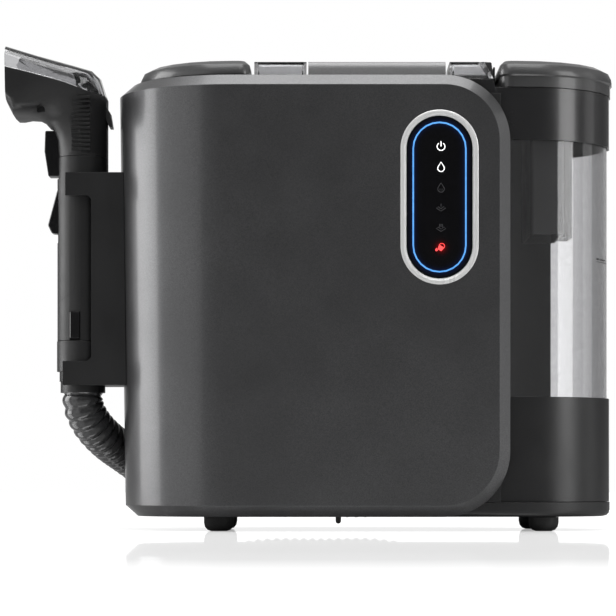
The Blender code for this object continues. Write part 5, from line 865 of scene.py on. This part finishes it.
@dataclass
class SuctionHose:
    """The ribbed hose: one tube with its bore, from the tool's collar round the back into its coupling."""

    lead: tuple[Point, ...] = (
        (-0.1745, -0.0210, 0.1267), (-0.1745, -0.0210, 0.1100), (-0.1741, -0.0204, 0.0970),
        (-0.1680, -0.0130, 0.0830), (-0.1575, 0.0030, 0.0705), (-0.1445, 0.0330, 0.0595),
        (-0.1300, 0.0520, 0.0490), (-0.1100, 0.0680, 0.0405), (-0.0850, 0.0790, 0.0330),
        (-0.0550, 0.0835, 0.0275), (-0.0270, 0.084, 0.0245), (0.0100, 0.084, 0.0245))
    turns: tuple[tuple[float, float, float, float, float], ...] = (
        (0.055, 0.0995, 0.075, -90, 0), (0.055, 0.2250, 0.075, 0, 90), (-0.025, 0.2250, 0.075, 90, 180),
        (-0.028, 0.1380, 0.072, 180, 270), (0.008, 0.1300, 0.064, 270, 360))
    plane_y: float = 0.084
    end_x: float = 0.072
    end_z: float = 0.190
    crest: float = 0.016
    root: float = 0.0142
    bore: float = 0.011
    pitch: float = 0.0072
    cuff: float = 0.012
    turn_steps: int = 4
    route_steps: int = 12
    rows_per_rib: int = 8
    sides: int = 28
    rib_fullness: float = 0.55
    least_step: float = 0.001

    def corners(self) -> list[Point]:
        """The points that the hose is led through, as the model's own hose is.

        Returns:
            The points.
        """
        places = list(self.lead)
        for x, z, radius, first, last in self.turns:
            for i in range(self.turn_steps + 1):
                a = math.radians(first + (last - first) * i / self.turn_steps)
                places.append((x + radius * math.cos(a), self.plane_y, z + radius * math.sin(a)))
        places.append((self.end_x, self.plane_y, (places[-1][2] + self.end_z) / 2))
        places.append((self.end_x, self.plane_y, self.end_z))
        kept = [places[0]]
        for place in places[1:]:
            if (Vector(place) - Vector(kept[-1])).length > self.least_step:
                kept.append(place)
        return kept

    def route(self) -> list[Point]:
        """A smooth curve through the corners.

        Returns:
            The points of the curve.
        """
        ends = [Vector(place) for place in self.corners()]
        ends = [ends[0] * 2 - ends[1]] + ends + [ends[-1] * 2 - ends[-2]]
        made = []
        for before, start, end, after in zip(ends, ends[1:], ends[2:], ends[3:]):
            first, second = end - before, before * 2 - start * 5 + end * 4 - after
            third = start * 3 - before - end * 3 + after
            for i in range(self.route_steps):
                t = i / self.route_steps
                made.append((start * 2 + first * t + second * t ** 2 + third * t ** 3) / 2)
        made.append(ends[-2])
        return [tuple(point) for point in made]

    def tree(self, finish: Finish) -> NodeTree:
        """Geometry Nodes that sweep a round section along the path, fuller at each rib.

        Args:
            finish: the hose's finish.

        Returns:
            The tree.
        """
        graph, given = Patterns.start("ribbed_hose", {
            "Crest": self.crest, "Root": self.root, "Bore": self.bore, "Pitch": self.pitch,
            "Row": self.pitch / self.rows_per_rib, "Cuff": self.cuff})
        step = graph.calculate
        even = graph.add("GeometryNodeResampleCurve", mode="LENGTH")
        graph.wire(even, {"Curve": given["Geometry"], "Length": given["Row"]})
        path = even.outputs["Curve"]
        along = graph.add("GeometryNodeSplineParameter").outputs["Length"]
        whole = graph.add("GeometryNodeCurveLength", {"Curve": path}).outputs["Length"]
        turn = step("MULTIPLY", step("DIVIDE", along, given["Pitch"]), math.tau)
        wave = step("MULTIPLY_ADD", step("COSINE", turn), -0.5, 0.5)
        plain = step("LESS_THAN", step("MINIMUM", along, step("SUBTRACT", whole, along)), given["Cuff"])
        rib = step("MAXIMUM", step("POWER", wave, self.rib_fullness), plain)
        outer = step("MULTIPLY_ADD", rib, step("SUBTRACT", given["Crest"], given["Root"]), given["Root"])
        both = graph.add("GeometryNodeJoinGeometry")
        for radius, inside in ((outer, False), (given["Bore"], True)):
            ring = graph.add("GeometryNodeCurvePrimitiveCircle", {
                "Resolution": self.sides, "Radius": 1.0}, mode="RADIUS")
            swept = graph.add("GeometryNodeCurveToMesh", {
                "Curve": path, "Scale": radius, "Profile Curve": ring.outputs["Curve"]})
            last = swept.outputs["Mesh"]
            if inside:
                last = graph.add("GeometryNodeFlipFaces", {"Mesh": last}).outputs["Mesh"]
            graph.wire(both, {"Geometry": last})
        smooth = graph.add("GeometryNodeSetShadeSmooth", {"Geometry": both.outputs["Geometry"]})
        Patterns.close(graph, smooth.outputs["Geometry"], finish)
        return graph.tree

    def build(self) -> Object:
        """Returns:
            The hose.
        """
        route = self.route()
        curve = bpy.data.curves.new("hose_path", "CURVE")
        curve.dimensions = "3D"
        curve.twist_mode = "MINIMUM"
        spline = curve.splines.new("POLY")
        spline.points.add(len(route) - 1)
        for target, point in zip(spline.points, route):
            target.co = (*point, 1.0)
        path = Shop.link("hose_path", curve)
        mesh = Patterns.apply(self.tree(HOSE), path, {}, "suction_hose_ribbed")
        shape = bmesh.new()
        shape.from_mesh(mesh)
        rims = [edge for edge in shape.edges if edge.is_boundary]
        first = Vector(route[0])
        near = [e for e in rims if (e.verts[0].co - first).length < self.crest * 2]
        far = [e for e in rims if e not in near]
        for rim in (near, far):
            bmesh.ops.bridge_loops(shape, edges=rim)
        bmesh.ops.recalc_face_normals(shape, faces=shape.faces)
        for face in shape.faces:
            face.smooth = True
        shape.to_mesh(mesh)
        shape.free()
        made = Shop.piece("suction_hose_ribbed", mesh, "machine", HOSE)
        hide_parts("suction_hose")
        return made


@dataclass(frozen=True)
class Softbox:
    """One rectangular light: where it stands, what it faces, its size, and its power in watts."""

    name: str
    place: Point
    aim: Point
    size: Flat
    power: float

    def build(self) -> None:
        """Adds the light."""
        data = bpy.data.lights.new(self.name, "AREA")
        data.shape = "RECTANGLE"
        data.size, data.size_y = self.size
        data.energy = self.power
        made = Shop.link(self.name, data)
        made.location = self.place
        made.rotation_euler = (Vector(self.aim) - Vector(self.place)).to_track_quat("-Z", "Y").to_euler()


@dataclass
class Studio:
    """Camera, pale floor and soft lights, set as in the photograph."""

    camera_place: Point = (0.0015, -2.106, 0.039)
    lens: float = 155.8
    shift: float = 0.279
    floor_reach: float = 6.0
    floor_grey: float = 0.5
    floor_glow: float = 0.70
    glow_fades: Flat = (0.65, 1.25)
    floor_gloss: float = 0.48
    gloss_fades: Flat = (0.80, 1.30)
    mirror_roughness: float = 0.02
    room: tuple[Flat, ...] = ((0.0, 0.08), (0.42, 0.12), (0.70, 0.25), (0.80, 0.12), (0.93, 0.14), (1.0, 1.0))
    above_from: float = 0.1
    above_level: float = 0.45
    lights: tuple[Softbox, ...] = (
        Softbox("side_left", (-1.50, 0.14, 0.45), (0.0, 0.0, 0.2), (0.85, 1.5), 20.0),
        Softbox("fill_left", (-1.30, -1.05, 0.55), (-0.05, -0.05, 0.2), (1.20, 1.5), 4.6),
        Softbox("side_right", (1.70, 0.10, 0.45), (0.1, -0.05, 0.2), (0.50, 1.5), 1.8),
        Softbox("strip_right", (1.42, -0.74, 0.45), (0.2, -0.05, 0.2), (0.52, 1.5), 11.0),
        Softbox("overhead", (0.05, -0.30, 1.65), (0.05, 0.0, 0.2), (1.6, 1.4), 29.0))

    def camera(self) -> None:
        """Makes the camera, level, with the rise that the photograph's framing needs."""
        data = bpy.data.cameras.new("camera")
        data.lens = self.lens
        data.sensor_width = 36.0
        data.shift_y = self.shift
        data.clip_end = 50.0
        made = Shop.link("camera", data)
        made.location = self.camera_place
        made.rotation_euler = (math.radians(90), 0.0, 0.0)
        bpy.context.scene.camera = made

    def floor(self) -> None:
        """Lays a pale floor that glows for the camera alone and mirrors what stands near."""
        reach = self.floor_reach
        corners = [(x * reach, y * reach, 0.0) for x, y in ((-1, -1), (1, -1), (1, 1), (-1, 1))]
        mesh = bpy.data.meshes.new("floor")
        mesh.from_pydata(corners, [], [(0, 1, 2, 3)])
        made = Shop.link("floor", mesh)
        finish = bpy.data.materials.new("floor_pale_lacquer")
        finish.use_nodes = True
        graph, nodes = Graph(finish.node_tree), finish.node_tree.nodes
        nodes.remove(nodes["Principled BSDF"])
        place = graph.add("ShaderNodeTexCoord").outputs["Object"]
        away = graph.add("ShaderNodeVectorMath", {0: place}, operation="LENGTH").outputs["Value"]
        fades = ((self.glow_fades, self.floor_glow, 1.0), (self.gloss_fades, self.floor_gloss, 0.0))
        glow, gloss = (graph.add("ShaderNodeMapRange", {
            "Value": away, "From Min": near, "From Max": far,
            "To Min": level, "To Max": rest}).outputs["Result"] for (near, far), level, rest in fades)
        seen = graph.calculate("MULTIPLY", graph.add("ShaderNodeLightPath").outputs["Is Camera Ray"], glow)
        matt = graph.add("ShaderNodeBsdfDiffuse", {"Color": (*[self.floor_grey] * 3, 1.0)})
        lit = graph.add("ShaderNodeEmission", {"Strength": seen})
        pale = graph.add("ShaderNodeAddShader", {0: matt.outputs["BSDF"], 1: lit.outputs["Emission"]})
        mirror = graph.add("ShaderNodeBsdfGlossy", {"Color": WHITE, "Roughness": self.mirror_roughness})
        both = graph.add("ShaderNodeMixShader", {
            "Fac": gloss, 1: pale.outputs["Shader"], 2: mirror.outputs["BSDF"]})
        graph.wire(nodes["Material Output"], {"Surface": both.outputs["Shader"]})
        mesh.materials.append(finish)

    def surroundings(self) -> None:
        """A white backdrop that surfaces reflect as a room: dim in front and at the sides, lighter above."""
        world = bpy.data.worlds.new("white_room")
        world.use_nodes = True
        graph = Graph(world.node_tree)
        place = graph.add("ShaderNodeTexCoord").outputs["Generated"]
        split = graph.add("ShaderNodeSeparateXYZ", {"Vector": place}).outputs
        spread = graph.add("ShaderNodeMapRange", {"Value": split["Y"], "From Min": -1.0})
        around = graph.add("ShaderNodeValToRGB", {"Fac": spread.outputs["Result"]})
        ramp = around.color_ramp
        while len(ramp.elements) < len(self.room):
            ramp.elements.new(0.5)
        for element, (position, level) in zip(ramp.elements, self.room):
            element.position = position
            element.color = (level, level, level, 1.0)
        above = graph.add("ShaderNodeMapRange", {
            "Value": split["Z"], "From Min": self.above_from, "To Max": self.above_level},
            interpolation_type="SMOOTHSTEP")
        both = graph.calculate("ADD", around.outputs["Color"], above.outputs["Result"])
        rays = graph.add("ShaderNodeLightPath").outputs
        straight = graph.calculate("MAXIMUM", rays["Is Camera Ray"], rays["Is Transmission Ray"])
        graph.wire(world.node_tree.nodes["Background"], {
            "Color": WHITE, "Strength": graph.calculate("MAXIMUM", both, straight)})
        bpy.context.scene.world = world
        bpy.context.scene.view_settings.view_transform = "Standard"

    def build(self) -> None:
        """Sets the whole studio."""
        self.camera()
        self.floor()
        self.surroundings()
        for light in self.lights:
            light.build()


@dataclass
class Panel:
    """The oval touch panel with its lit and unlit signs."""

    front_y: float = -0.106
    proud: float = 0.00006
    middle_x: float = 0.1013
    size: float = 0.0065
    line: float = 0.00050
    lit_power_z: float = 0.2891
    lit_drop_z: float = 0.2738
    dim_z: tuple[float, float, float] = (0.2583, 0.2430, 0.2277)
    warning_z: float = 0.2134
    bezel_x: float = 0.1002
    bezel_z: float = 0.2512
    bezel_half_width: float = 0.0293
    bezel_straight: float = 0.0363
    bezel_rows: tuple[Flat, ...] = (
        (0.0, -0.0009), (0.0, 0.0001), (0.0003, 0.0003), (0.0009, 0.00048), (0.0016, 0.00058), (0.0023, 0.0006),
        (0.0029, 0.00052), (0.0033, 0.0004), (0.0034, 0.00018), (0.0040, 0.00012), (0.0044, 0.0),
        (0.0044, -0.0009))
    bezel_edge: float = math.radians(50)
    lit_weight: float = 1.15
    drop_weight: float = 1.1
    dim_weight: float = 0.6
    ring_radius: float = 0.45
    ring_turns: Flat = (125, 415)
    bar_height: float = 1.35
    cloth: tuple[Flat, ...] = (
        (-0.55, 0.0), (-0.3, 0.14), (0.0, -0.1), (0.3, 0.14), (0.55, 0.0), (0.0, -0.36))
    jet: Flat = (0.16, 0.5)
    bucket: tuple[Flat, ...] = ((-0.34, 0.16), (0.34, 0.16), (0.24, -0.36), (-0.24, -0.36))
    bucket_tilt: float = math.radians(-32)

    def stroke(self, shape: BMesh, line: list[Flat], closed: bool = False, share: float = 1.0) -> None:
        """Adds one sign line on the glass."""
        Outline.stroke(shape, line, self.line * share, self.front_y - self.proud, self.proud, closed)

    def fill(self, shape: BMesh, line: list[Flat]) -> None:
        """Adds one filled sign on the glass."""
        Outline.fill(shape, line, self.front_y - self.proud, self.proud)

    def power(self, shape: BMesh) -> None:
        """The lit power sign: an open ring with an upright bar.

        Args:
            shape: the mesh that takes the sign.
        """
        x, z = self.middle_x, self.lit_power_z
        radius = self.size * self.ring_radius
        self.stroke(shape, Outline.arc((x, z), radius, *self.ring_turns, 28), share=self.lit_weight)
        self.stroke(shape, [(x, z), (x, z + radius * self.bar_height)], share=self.lit_weight)

    def water(self, shape: BMesh) -> None:
        """The lit water sign: a drop's outline.

        Args:
            shape: the mesh that takes the sign.
        """
        drop = Outline.drop((self.middle_x, self.lit_drop_z), self.size * 1.12)
        self.stroke(shape, drop, True, self.drop_weight)

    def unlit(self, shape: BMesh) -> None:
        """The three signs that are off: warm water, spray on a surface and steam on a surface.

        Args:
            shape: the mesh that takes the sign.
        """
        x, unit = self.middle_x, self.size
        warm, spray, steam = self.dim_z
        self.stroke(shape, Outline.drop((x, warm), unit * 1.1), True, self.dim_weight)
        for side in (-1, 1):
            foot = (x + side * unit * 0.12, warm - unit * 0.36)
            self.stroke(shape, [foot, (foot[0], foot[1] + unit * 0.24)], share=0.5)
        for height, jets in ((spray, (0.0,)), (steam, (-0.16, 0.0, 0.16))):
            cloth = [(x + unit * across, height + unit * up) for across, up in self.cloth]
            self.stroke(shape, cloth, True, self.dim_weight)
            for off in jets:
                jet = [(x + unit * off, height + unit * up) for up in self.jet]
                self.stroke(shape, jet, share=self.dim_weight)

    def warning(self, shape: BMesh) -> None:
        """The lit red sign: a tipped bucket that pours.

        Args:
            shape: the mesh that takes the sign.
        """
        x, z, unit = self.middle_x, self.warning_z, self.size
        turn, lean = math.cos(self.bucket_tilt), math.sin(self.bucket_tilt)

        def tipped(points: list[Flat]) -> list[Flat]:
            """Turns points about the sign's middle."""
            return [(x + px * unit * turn - pz * unit * lean,
                     z + px * unit * lean + pz * unit * turn) for px, pz in points]

        self.fill(shape, tipped(list(self.bucket)))
        self.stroke(shape, tipped(Outline.arc((0.0, 0.16), 0.33, 0, 180, 12)), share=0.8)
        self.fill(shape, Outline.drop((x - unit * 0.52, z - unit * 0.24), unit * 0.4))

    def bezel(self) -> None:
        """The oval ring with a rounded front and a fine step inside it."""
        shape = bmesh.new()
        rows = []
        for inset, proud in self.bezel_rows:
            ring = []
            for side, start in ((1, 0), (-1, 180)):
                centre = (self.bezel_x, self.bezel_z + side * self.bezel_straight)
                ring += Outline.arc(centre, self.bezel_half_width - inset, start, start + 180, 40)
            rows.append([shape.verts.new((x, self.front_y - proud, z)) for x, z in ring])
        Loft.tube(shape, rows, True)
        for face in shape.faces:
            face.smooth = True
        made = Shop.from_shape("panel_bezel_round", shape, "machine", SILVER)
        made.modifiers.new("edges", "EDGE_SPLIT").split_angle = self.bezel_edge
        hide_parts("panel_bezel")

    def build(self) -> None:
        """Dresses the panel's solids and draws its signs."""
        self.bezel()
        Shop.nodes(PANEL_BLACK, "panel_glass")
        Shop.nodes(BLUE_LIGHT, "panel_light")
        Shop.nodes(BOARD, "control_board")
        for name, draw, finish in (
                ("sign_power", self.power, WHITE_SIGN), ("sign_water", self.water, WHITE_SIGN),
                ("signs_unlit", self.unlit, DIM_SIGN), ("sign_empty_tank", self.warning, RED_SIGN)):
            shape = bmesh.new()
            draw(shape)
            Shop.from_shape(name, shape, "machine", finish)


@dataclass
class Body:
    """The two shells, the floor pan with its feet, the bay wall and the deck."""

    screw_y: float = 0.0644
    screws: tuple[Flat, ...] = ((-0.045, 0.262), (-0.050, 0.030), (0.152, 0.300), (0.152, 0.030))
    corner_x: float = 0.104
    corner_low_z: float = 0.061
    corner_high_z: float = 0.2945
    corner_cuts: int = 3
    least_radius: float = 0.02
    same_radius: float = 0.00005
    slack: float = WELD * 20
    flat_turn: float = math.radians(2)
    step_turns: Flat = (math.radians(3), 0.5)

    def polar(self, vertex: BMVert, middle_z: float, way: int) -> Flat:
        """The radius and angle of a mesh corner about an arc's middle, or zeros outside its quarter.

        Args:
            vertex: the corner of the mesh.
            middle_z: the height of the arc's middle.
            way: 1 where the arc is above its middle and -1 below.

        Returns:
            The radius and the angle.
        """
        across, up = vertex.co.x - self.corner_x, (vertex.co.z - middle_z) * way
        inside = min(across, up) > -self.slack
        return (math.hypot(across, up), math.atan2(up, across)) if inside else (0.0, 0.0)

    def steps(self, shape: BMesh, middle_z: float, way: int) -> dict[object, float]:
        """The edges that follow a round corner, each with its radius.

        Args:
            shape: the shell's mesh.
            middle_z: the height of the arc's middle.
            way: 1 where the arc is above its middle and -1 below.

        Returns:
            The edges and radii.
        """
        found = {}
        for edge in shape.edges:
            (one, start), (other, end) = (self.polar(vertex, middle_z, way) for vertex in edge.verts)
            low, high = self.step_turns
            alike = min(one, other) > self.least_radius and abs(one - other) < self.same_radius
            if alike and low < abs(start - end) < high:
                found[edge] = one
        return found

    def round_corners(self, made: Object) -> None:
        """Divides a shell's two round corners into finer steps, each new point on its own arc.

        Args:
            made: the shell.
        """
        shape = bmesh.new()
        shape.from_mesh(made.data)
        for middle_z, way in ((self.corner_low_z, -1), (self.corner_high_z, 1)):
            round_faces = [face for face in shape.faces if all(
                self.polar(vertex, middle_z, way)[0] > self.least_radius for vertex in face.verts)]
            bmesh.ops.join_triangles(shape, faces=round_faces, angle_face_threshold=self.flat_turn,
                                     angle_shape_threshold=math.pi)
            steps = self.steps(shape, middle_z, way)
            parts = bmesh.ops.subdivide_edges(shape, edges=list(steps), cuts=self.corner_cuts)["geom_inner"]
            radii = sorted(set(round(radius, 5) for radius in steps.values()))
            for vertex in {part for part in parts if isinstance(part, BMVert)}:
                across, up = vertex.co.x - self.corner_x, vertex.co.z - middle_z
                radius = math.hypot(across, up)
                share = min(radii, key=lambda value: abs(value - radius)) / radius
                vertex.co.x, vertex.co.z = self.corner_x + across * share, middle_z + up * share
            LOG.info("%s: %d edges of a round corner divided", made.name, len(steps))
        shape.to_mesh(made.data)
        shape.free()

    def build(self) -> None:
        """Dresses the body and sets its screws in the back."""
        self.round_corners(Shop.refined("front_shell", "machine", GRAPHITE))
        Shop.skins("machine", ("rear_cover", DARK_SHELL), ("base_pan", BLACK_MATT),
                   ("bay_wall", BLACK_MATT), ("top_deck", DARK_SHELL))
        rubber = ("foot_front_left", "foot_front_right", "foot_rear_left", "foot_rear_right", "cable_gland")
        Shop.skins("machine", *((node, RUBBER) for node in rubber))
        places = [(x, self.screw_y, z) for x, z in self.screws]
        Fasteners().build("cover_screws", places, (0.0, 1.0, 0.0), "machine", STEEL)


@dataclass
class TopTrim:
    """The carry handle and the two tank buttons."""

    wall: float = 0.0026
    low_share: float = 0.20
    side: float = 0.0035
    end: tuple[Flat, ...] = ((0.1362, 0.3580), (0.1409, 0.3578), (0.1416, 0.3572), (0.1431, 0.3458))
    end_span: Flat = (-0.0708, 0.0288)
    rib: tuple[Flat, ...] = (
        (0.1436, 0.3312), (0.1450, 0.3312), (0.1450, 0.3553), (0.1447, 0.3557), (0.1439, 0.3557),
        (0.1436, 0.3553))
    rib_span: Flat = (-0.0600, 0.0200)
    lean: float = 0.0065
    core_bevel: float = 0.0008
    core_segments: int = 3

    def core(self, node: str, body: str, slope: float) -> Object:
        """The pale block that shows through a button's clear shell.

        Args:
            node: the button's solid.
            body: the body that it rides on.
            slope: how far the block's right end leans in at its top.

        Returns:
            The block.
        """
        low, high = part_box(node)
        floor = low[2] + (high[2] - low[2]) * self.low_share
        left, right = low[0] + self.side, high[0] - self.side
        near, far = low[1] + self.wall, high[1] - self.wall
        shape = bmesh.new()
        bottom, top = ([shape.verts.new(corner) for corner in (
            (left, near, z), (right - shift, near, z), (right - shift, far, z), (left, far, z))]
            for z, shift in ((floor, slope * self.low_share), (high[2] - self.wall, slope)))
        Loft.band(shape, bottom, top)
        shape.faces.new(bottom[::-1])
        shape.faces.new(top)
        bmesh.ops.bevel(shape, geom=shape.edges[:], offset=self.core_bevel, segments=self.core_segments,
                        affect="EDGES", profile=0.5)
        return Shop.from_shape(node + "_core", shape, body, BUTTON_CORE)

    def bar(self, name: str, body: str, line: tuple[Flat, ...], span: Flat, finish: Finish) -> Object:
        """A piece with one section from front to back.

        Args:
            name: the piece's name.
            body: the body that it rides on.
            line: its section, as x and z.
            span: the y of its front and its back.
            finish: its finish.

        Returns:
            The piece.
        """
        shape = bmesh.new()
        Outline.fill(shape, list(line), span[0], span[1] - span[0])
        return Shop.from_shape(name, shape, body, finish)

    def build(self) -> None:
        """Dresses the pieces on the top."""
        Shop.skins("machine", ("carry_handle", HANDLE_GREY), ("handle_underside", DARK_SHELL))
        buttons = (("clean_tank_button", "clean_button", 0.0), ("dirty_tank_button", "dirty_button", self.lean))
        for node, body, _ in buttons:
            Shop.refined(node, body, BUTTON_SMOKE)
        for node, body, slope in buttons:
            self.core(node, body, slope)
        self.bar("dirty_tank_button_end", "dirty_button", self.end, self.end_span, LID_GREY_TOP_LIT)
        self.bar("dirty_tank_rib", "dirty_tank", self.rib, self.rib_span, BLACK_MATT)


@dataclass
class WaterTanks:
    """The clean water tank at the left end and the dirty water tank at the right."""

    dark_back_x: float = 0.1985
    dark_back_y: float = -0.005
    centre: Flat = (0.159, -0.021)
    reach: Flat = (0.0753, 0.0673)
    mark_z: float = 0.2076
    mark_rows: Flat = (0.0012, -0.0008)
    mark_heights: Flat = (0.0011, 0.0005)
    mark_turns: tuple[Flat, ...] = ((58.0, 62.0), (63.5, 67.5), (69.0, 73.0))
    long_mark: Flat = (58.0, 80.0)
    mark_proud: float = 0.0001
    mark_sunk: float = -0.0003
    mark_steps: int = 6

    def dark_back(self, made: Object) -> None:
        """Makes the cup's wall on the body's side opaque, up to an upright edge at its back.

        Args:
            made: the cup.
        """
        made.data.materials.append(DARK_SHELL.material())
        for face in made.data.polygons:
            if face.center.x < self.dark_back_x and face.center.y > self.dark_back_y:
                face.material_index = 1

    def level_marks(self) -> None:
        """The fill line near the cup's right edge: three short dashes and a longer one under them."""
        shape = bmesh.new()
        out, sunk = self.mark_proud, self.mark_sunk
        marks = [(*turns, self.mark_rows[0], self.mark_heights[0]) for turns in self.mark_turns]
        marks.append((*self.long_mark, self.mark_rows[1], self.mark_heights[1]))
        for start, end, z, height in marks:
            half = height / 2
            sections = []
            for i in range(self.mark_steps + 1):
                turn = math.radians(start + (end - start) * i / self.mark_steps)
                sections.append([shape.verts.new((
                    self.centre[0] + (self.reach[0] + off) * math.sin(turn),
                    self.centre[1] - (self.reach[1] + off) * math.cos(turn), self.mark_z + z + rise))
                    for off, rise in ((out, half), (out, -half), (sunk, -half), (sunk, half))])
            Loft.tube(shape, sections)
        Shop.from_shape("level_marks", shape, "dirty_tank", MARK_GREY)

    def build(self) -> None:
        """Dresses both tanks and what hangs in them."""
        Shop.skins("clean_tank", ("clean_tank_cup", WATER_CLEAR), ("clean_tank_collar", DARK_GLOSS))
        Shop.skins("clean_lid", ("clean_tank_lid", LID_GREY_TOP_LIT))
        Shop.nodes(BLACK_MATT, "clean_tank_valve")
        Shop.nodes(STEEL, "clean_lid_pin", "dirty_lid_pin")
        Shop.skins("dirty_tank", ("dirty_tank_base", DARK_SHELL))
        self.dark_back(Shop.refined("dirty_tank_cup", "dirty_tank", SMOKE))
        self.level_marks()
        Shop.skins("dirty_tank", ("dirty_tank_collar", DARK_GLOSS), ("dirty_tank_cover", BLACK_MATT),
                   ("dirty_tank_separator", BLACK_MATT), ("dirty_tank_duct", BLACK_MATT))
        Shop.skins("dirty_lid", ("dirty_tank_lid", LID_GREY_TOP_LIT))
        Shop.skins("float", ("dirty_tank_float", PIPE))
        Shop.skins("dirty_tank", ("float_cage", BLACK_MATT))


@dataclass
class HandTool:
    """The hand tool with its clear window, trigger, lock and nozzle."""

    middle_y: float = -0.021
    cheek_y: float = 0.0125
    cheek_depth: float = 0.0012
    cheek: tuple[Flat, ...] = (
        (-0.1823, 0.3577), (-0.1792, 0.3570), (-0.1724, 0.3553), (-0.1677, 0.3520), (-0.1638, 0.3468),
        (-0.1610, 0.3411), (-0.1582, 0.3358), (-0.1628, 0.3367), (-0.1672, 0.3392), (-0.1705, 0.3430),
        (-0.1738, 0.3475), (-0.1793, 0.3462), (-0.1812, 0.3507))
    grip_edge: tuple[Flat, ...] = (
        (-0.1563, 0.2919), (-0.1751, 0.2919), (-0.1757, 0.3107), (-0.1780, 0.3197), (-0.1808, 0.3289),
        (-0.1803, 0.3351), (-0.1768, 0.3366), (-0.1678, 0.3363), (-0.1576, 0.3340))
    handle_seam: tuple[Flat, ...] = ((-0.1789, 0.2589), (-0.1789, 0.1908), (-0.1805, 0.1853), (-0.1925, 0.1772))
    grip_edge_width: float = 0.0011
    handle_seam_width: float = 0.0004

    def cheeks(self) -> Object:
        """The two dark side walls of the deflector that show through the window.

        Returns:
            The piece.
        """
        shape = bmesh.new()
        for side in (-1, 1):
            near = self.middle_y + side * self.cheek_y
            Outline.fill(shape, list(self.cheek), near, -side * self.cheek_depth)
        return Shop.from_shape("deflector_cheeks", shape, "hand_tool", BLACK_GLOSS)

    def build(self) -> None:
        """Dresses the hand tool and draws its seams."""
        Shop.refined("tool_head", "hand_tool", BLACK_MATT, HEAD_ANGLE)
        Shop.refined("tool_handle", "hand_tool", BLACK_MATT)
        Shop.refined("tool_window", "hand_tool", WINDOW_SMOKE, HEAD_ANGLE)
        self.cheeks()
        for node, name, line, width in (
                ("tool_head", "grip_outline", self.grip_edge, self.grip_edge_width),
                ("tool_handle", "handle_seam", self.handle_seam, self.handle_seam_width)):
            SurfaceLine(node, "hand_tool", SEAM, width).build(name, [list(line)], (-1, 1))
        Shop.skins("hand_tool", ("tool_baffle", BLACK_GLOSS), ("steam_nozzle", BLACK_GLOSS))
        Shop.nodes(STEEL, "trigger_pin")
        for node in ("trigger", "thumb_lock", "release_tab"):
            Shop.refined(node, node, BLACK_GLOSS)


class Fittings:
    """The cradle of the hand tool and what holds the hose."""

    def build(self) -> None:
        """Dresses the cradle, the hose's collar, cuff and coupling, and its two hooks."""
        matt = ("tool_cradle", "hose_collar", "hose_cuff", "hose_coupling")
        Shop.skins("machine", *((node, BLACK_MATT) for node in matt))
        Shop.skins("machine", ("hose_hook_upper", DARK_SHELL), ("hose_hook_lower", DARK_SHELL))


class Innards:
    """The pump, heater, motor and fan, and the ducts between them."""

    def build(self) -> None:
        """Dresses what is closed in."""
        Shop.nodes(BLACK_MATT, "clean_tank_shelf", "motor_stand", "fan_drum", "air_duct", "suction_duct")
        Shop.nodes(MOTOR, "suction_motor", "water_pump")
        Shop.nodes(STEEL, "steam_heater")
        Shop.nodes(PIPE, "steam_pipe")
        Shop.nodes(INNER, "suction_fan")


def main() -> None:
    """Builds the studio and every sub-assembly in order."""
    logging.basicConfig(level=logging.INFO, format="%(name)s %(message)s")
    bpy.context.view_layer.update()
    Studio().build()
    parts = (SuctionHose(), Body(), Panel(), TopTrim(), WaterTanks(), HandTool(), Fittings(), Innards())
    for assembly in parts:
        LOG.info("building %s", type(assembly).__name__)
        assembly.build()


if __name__ == "__main__":
    main()
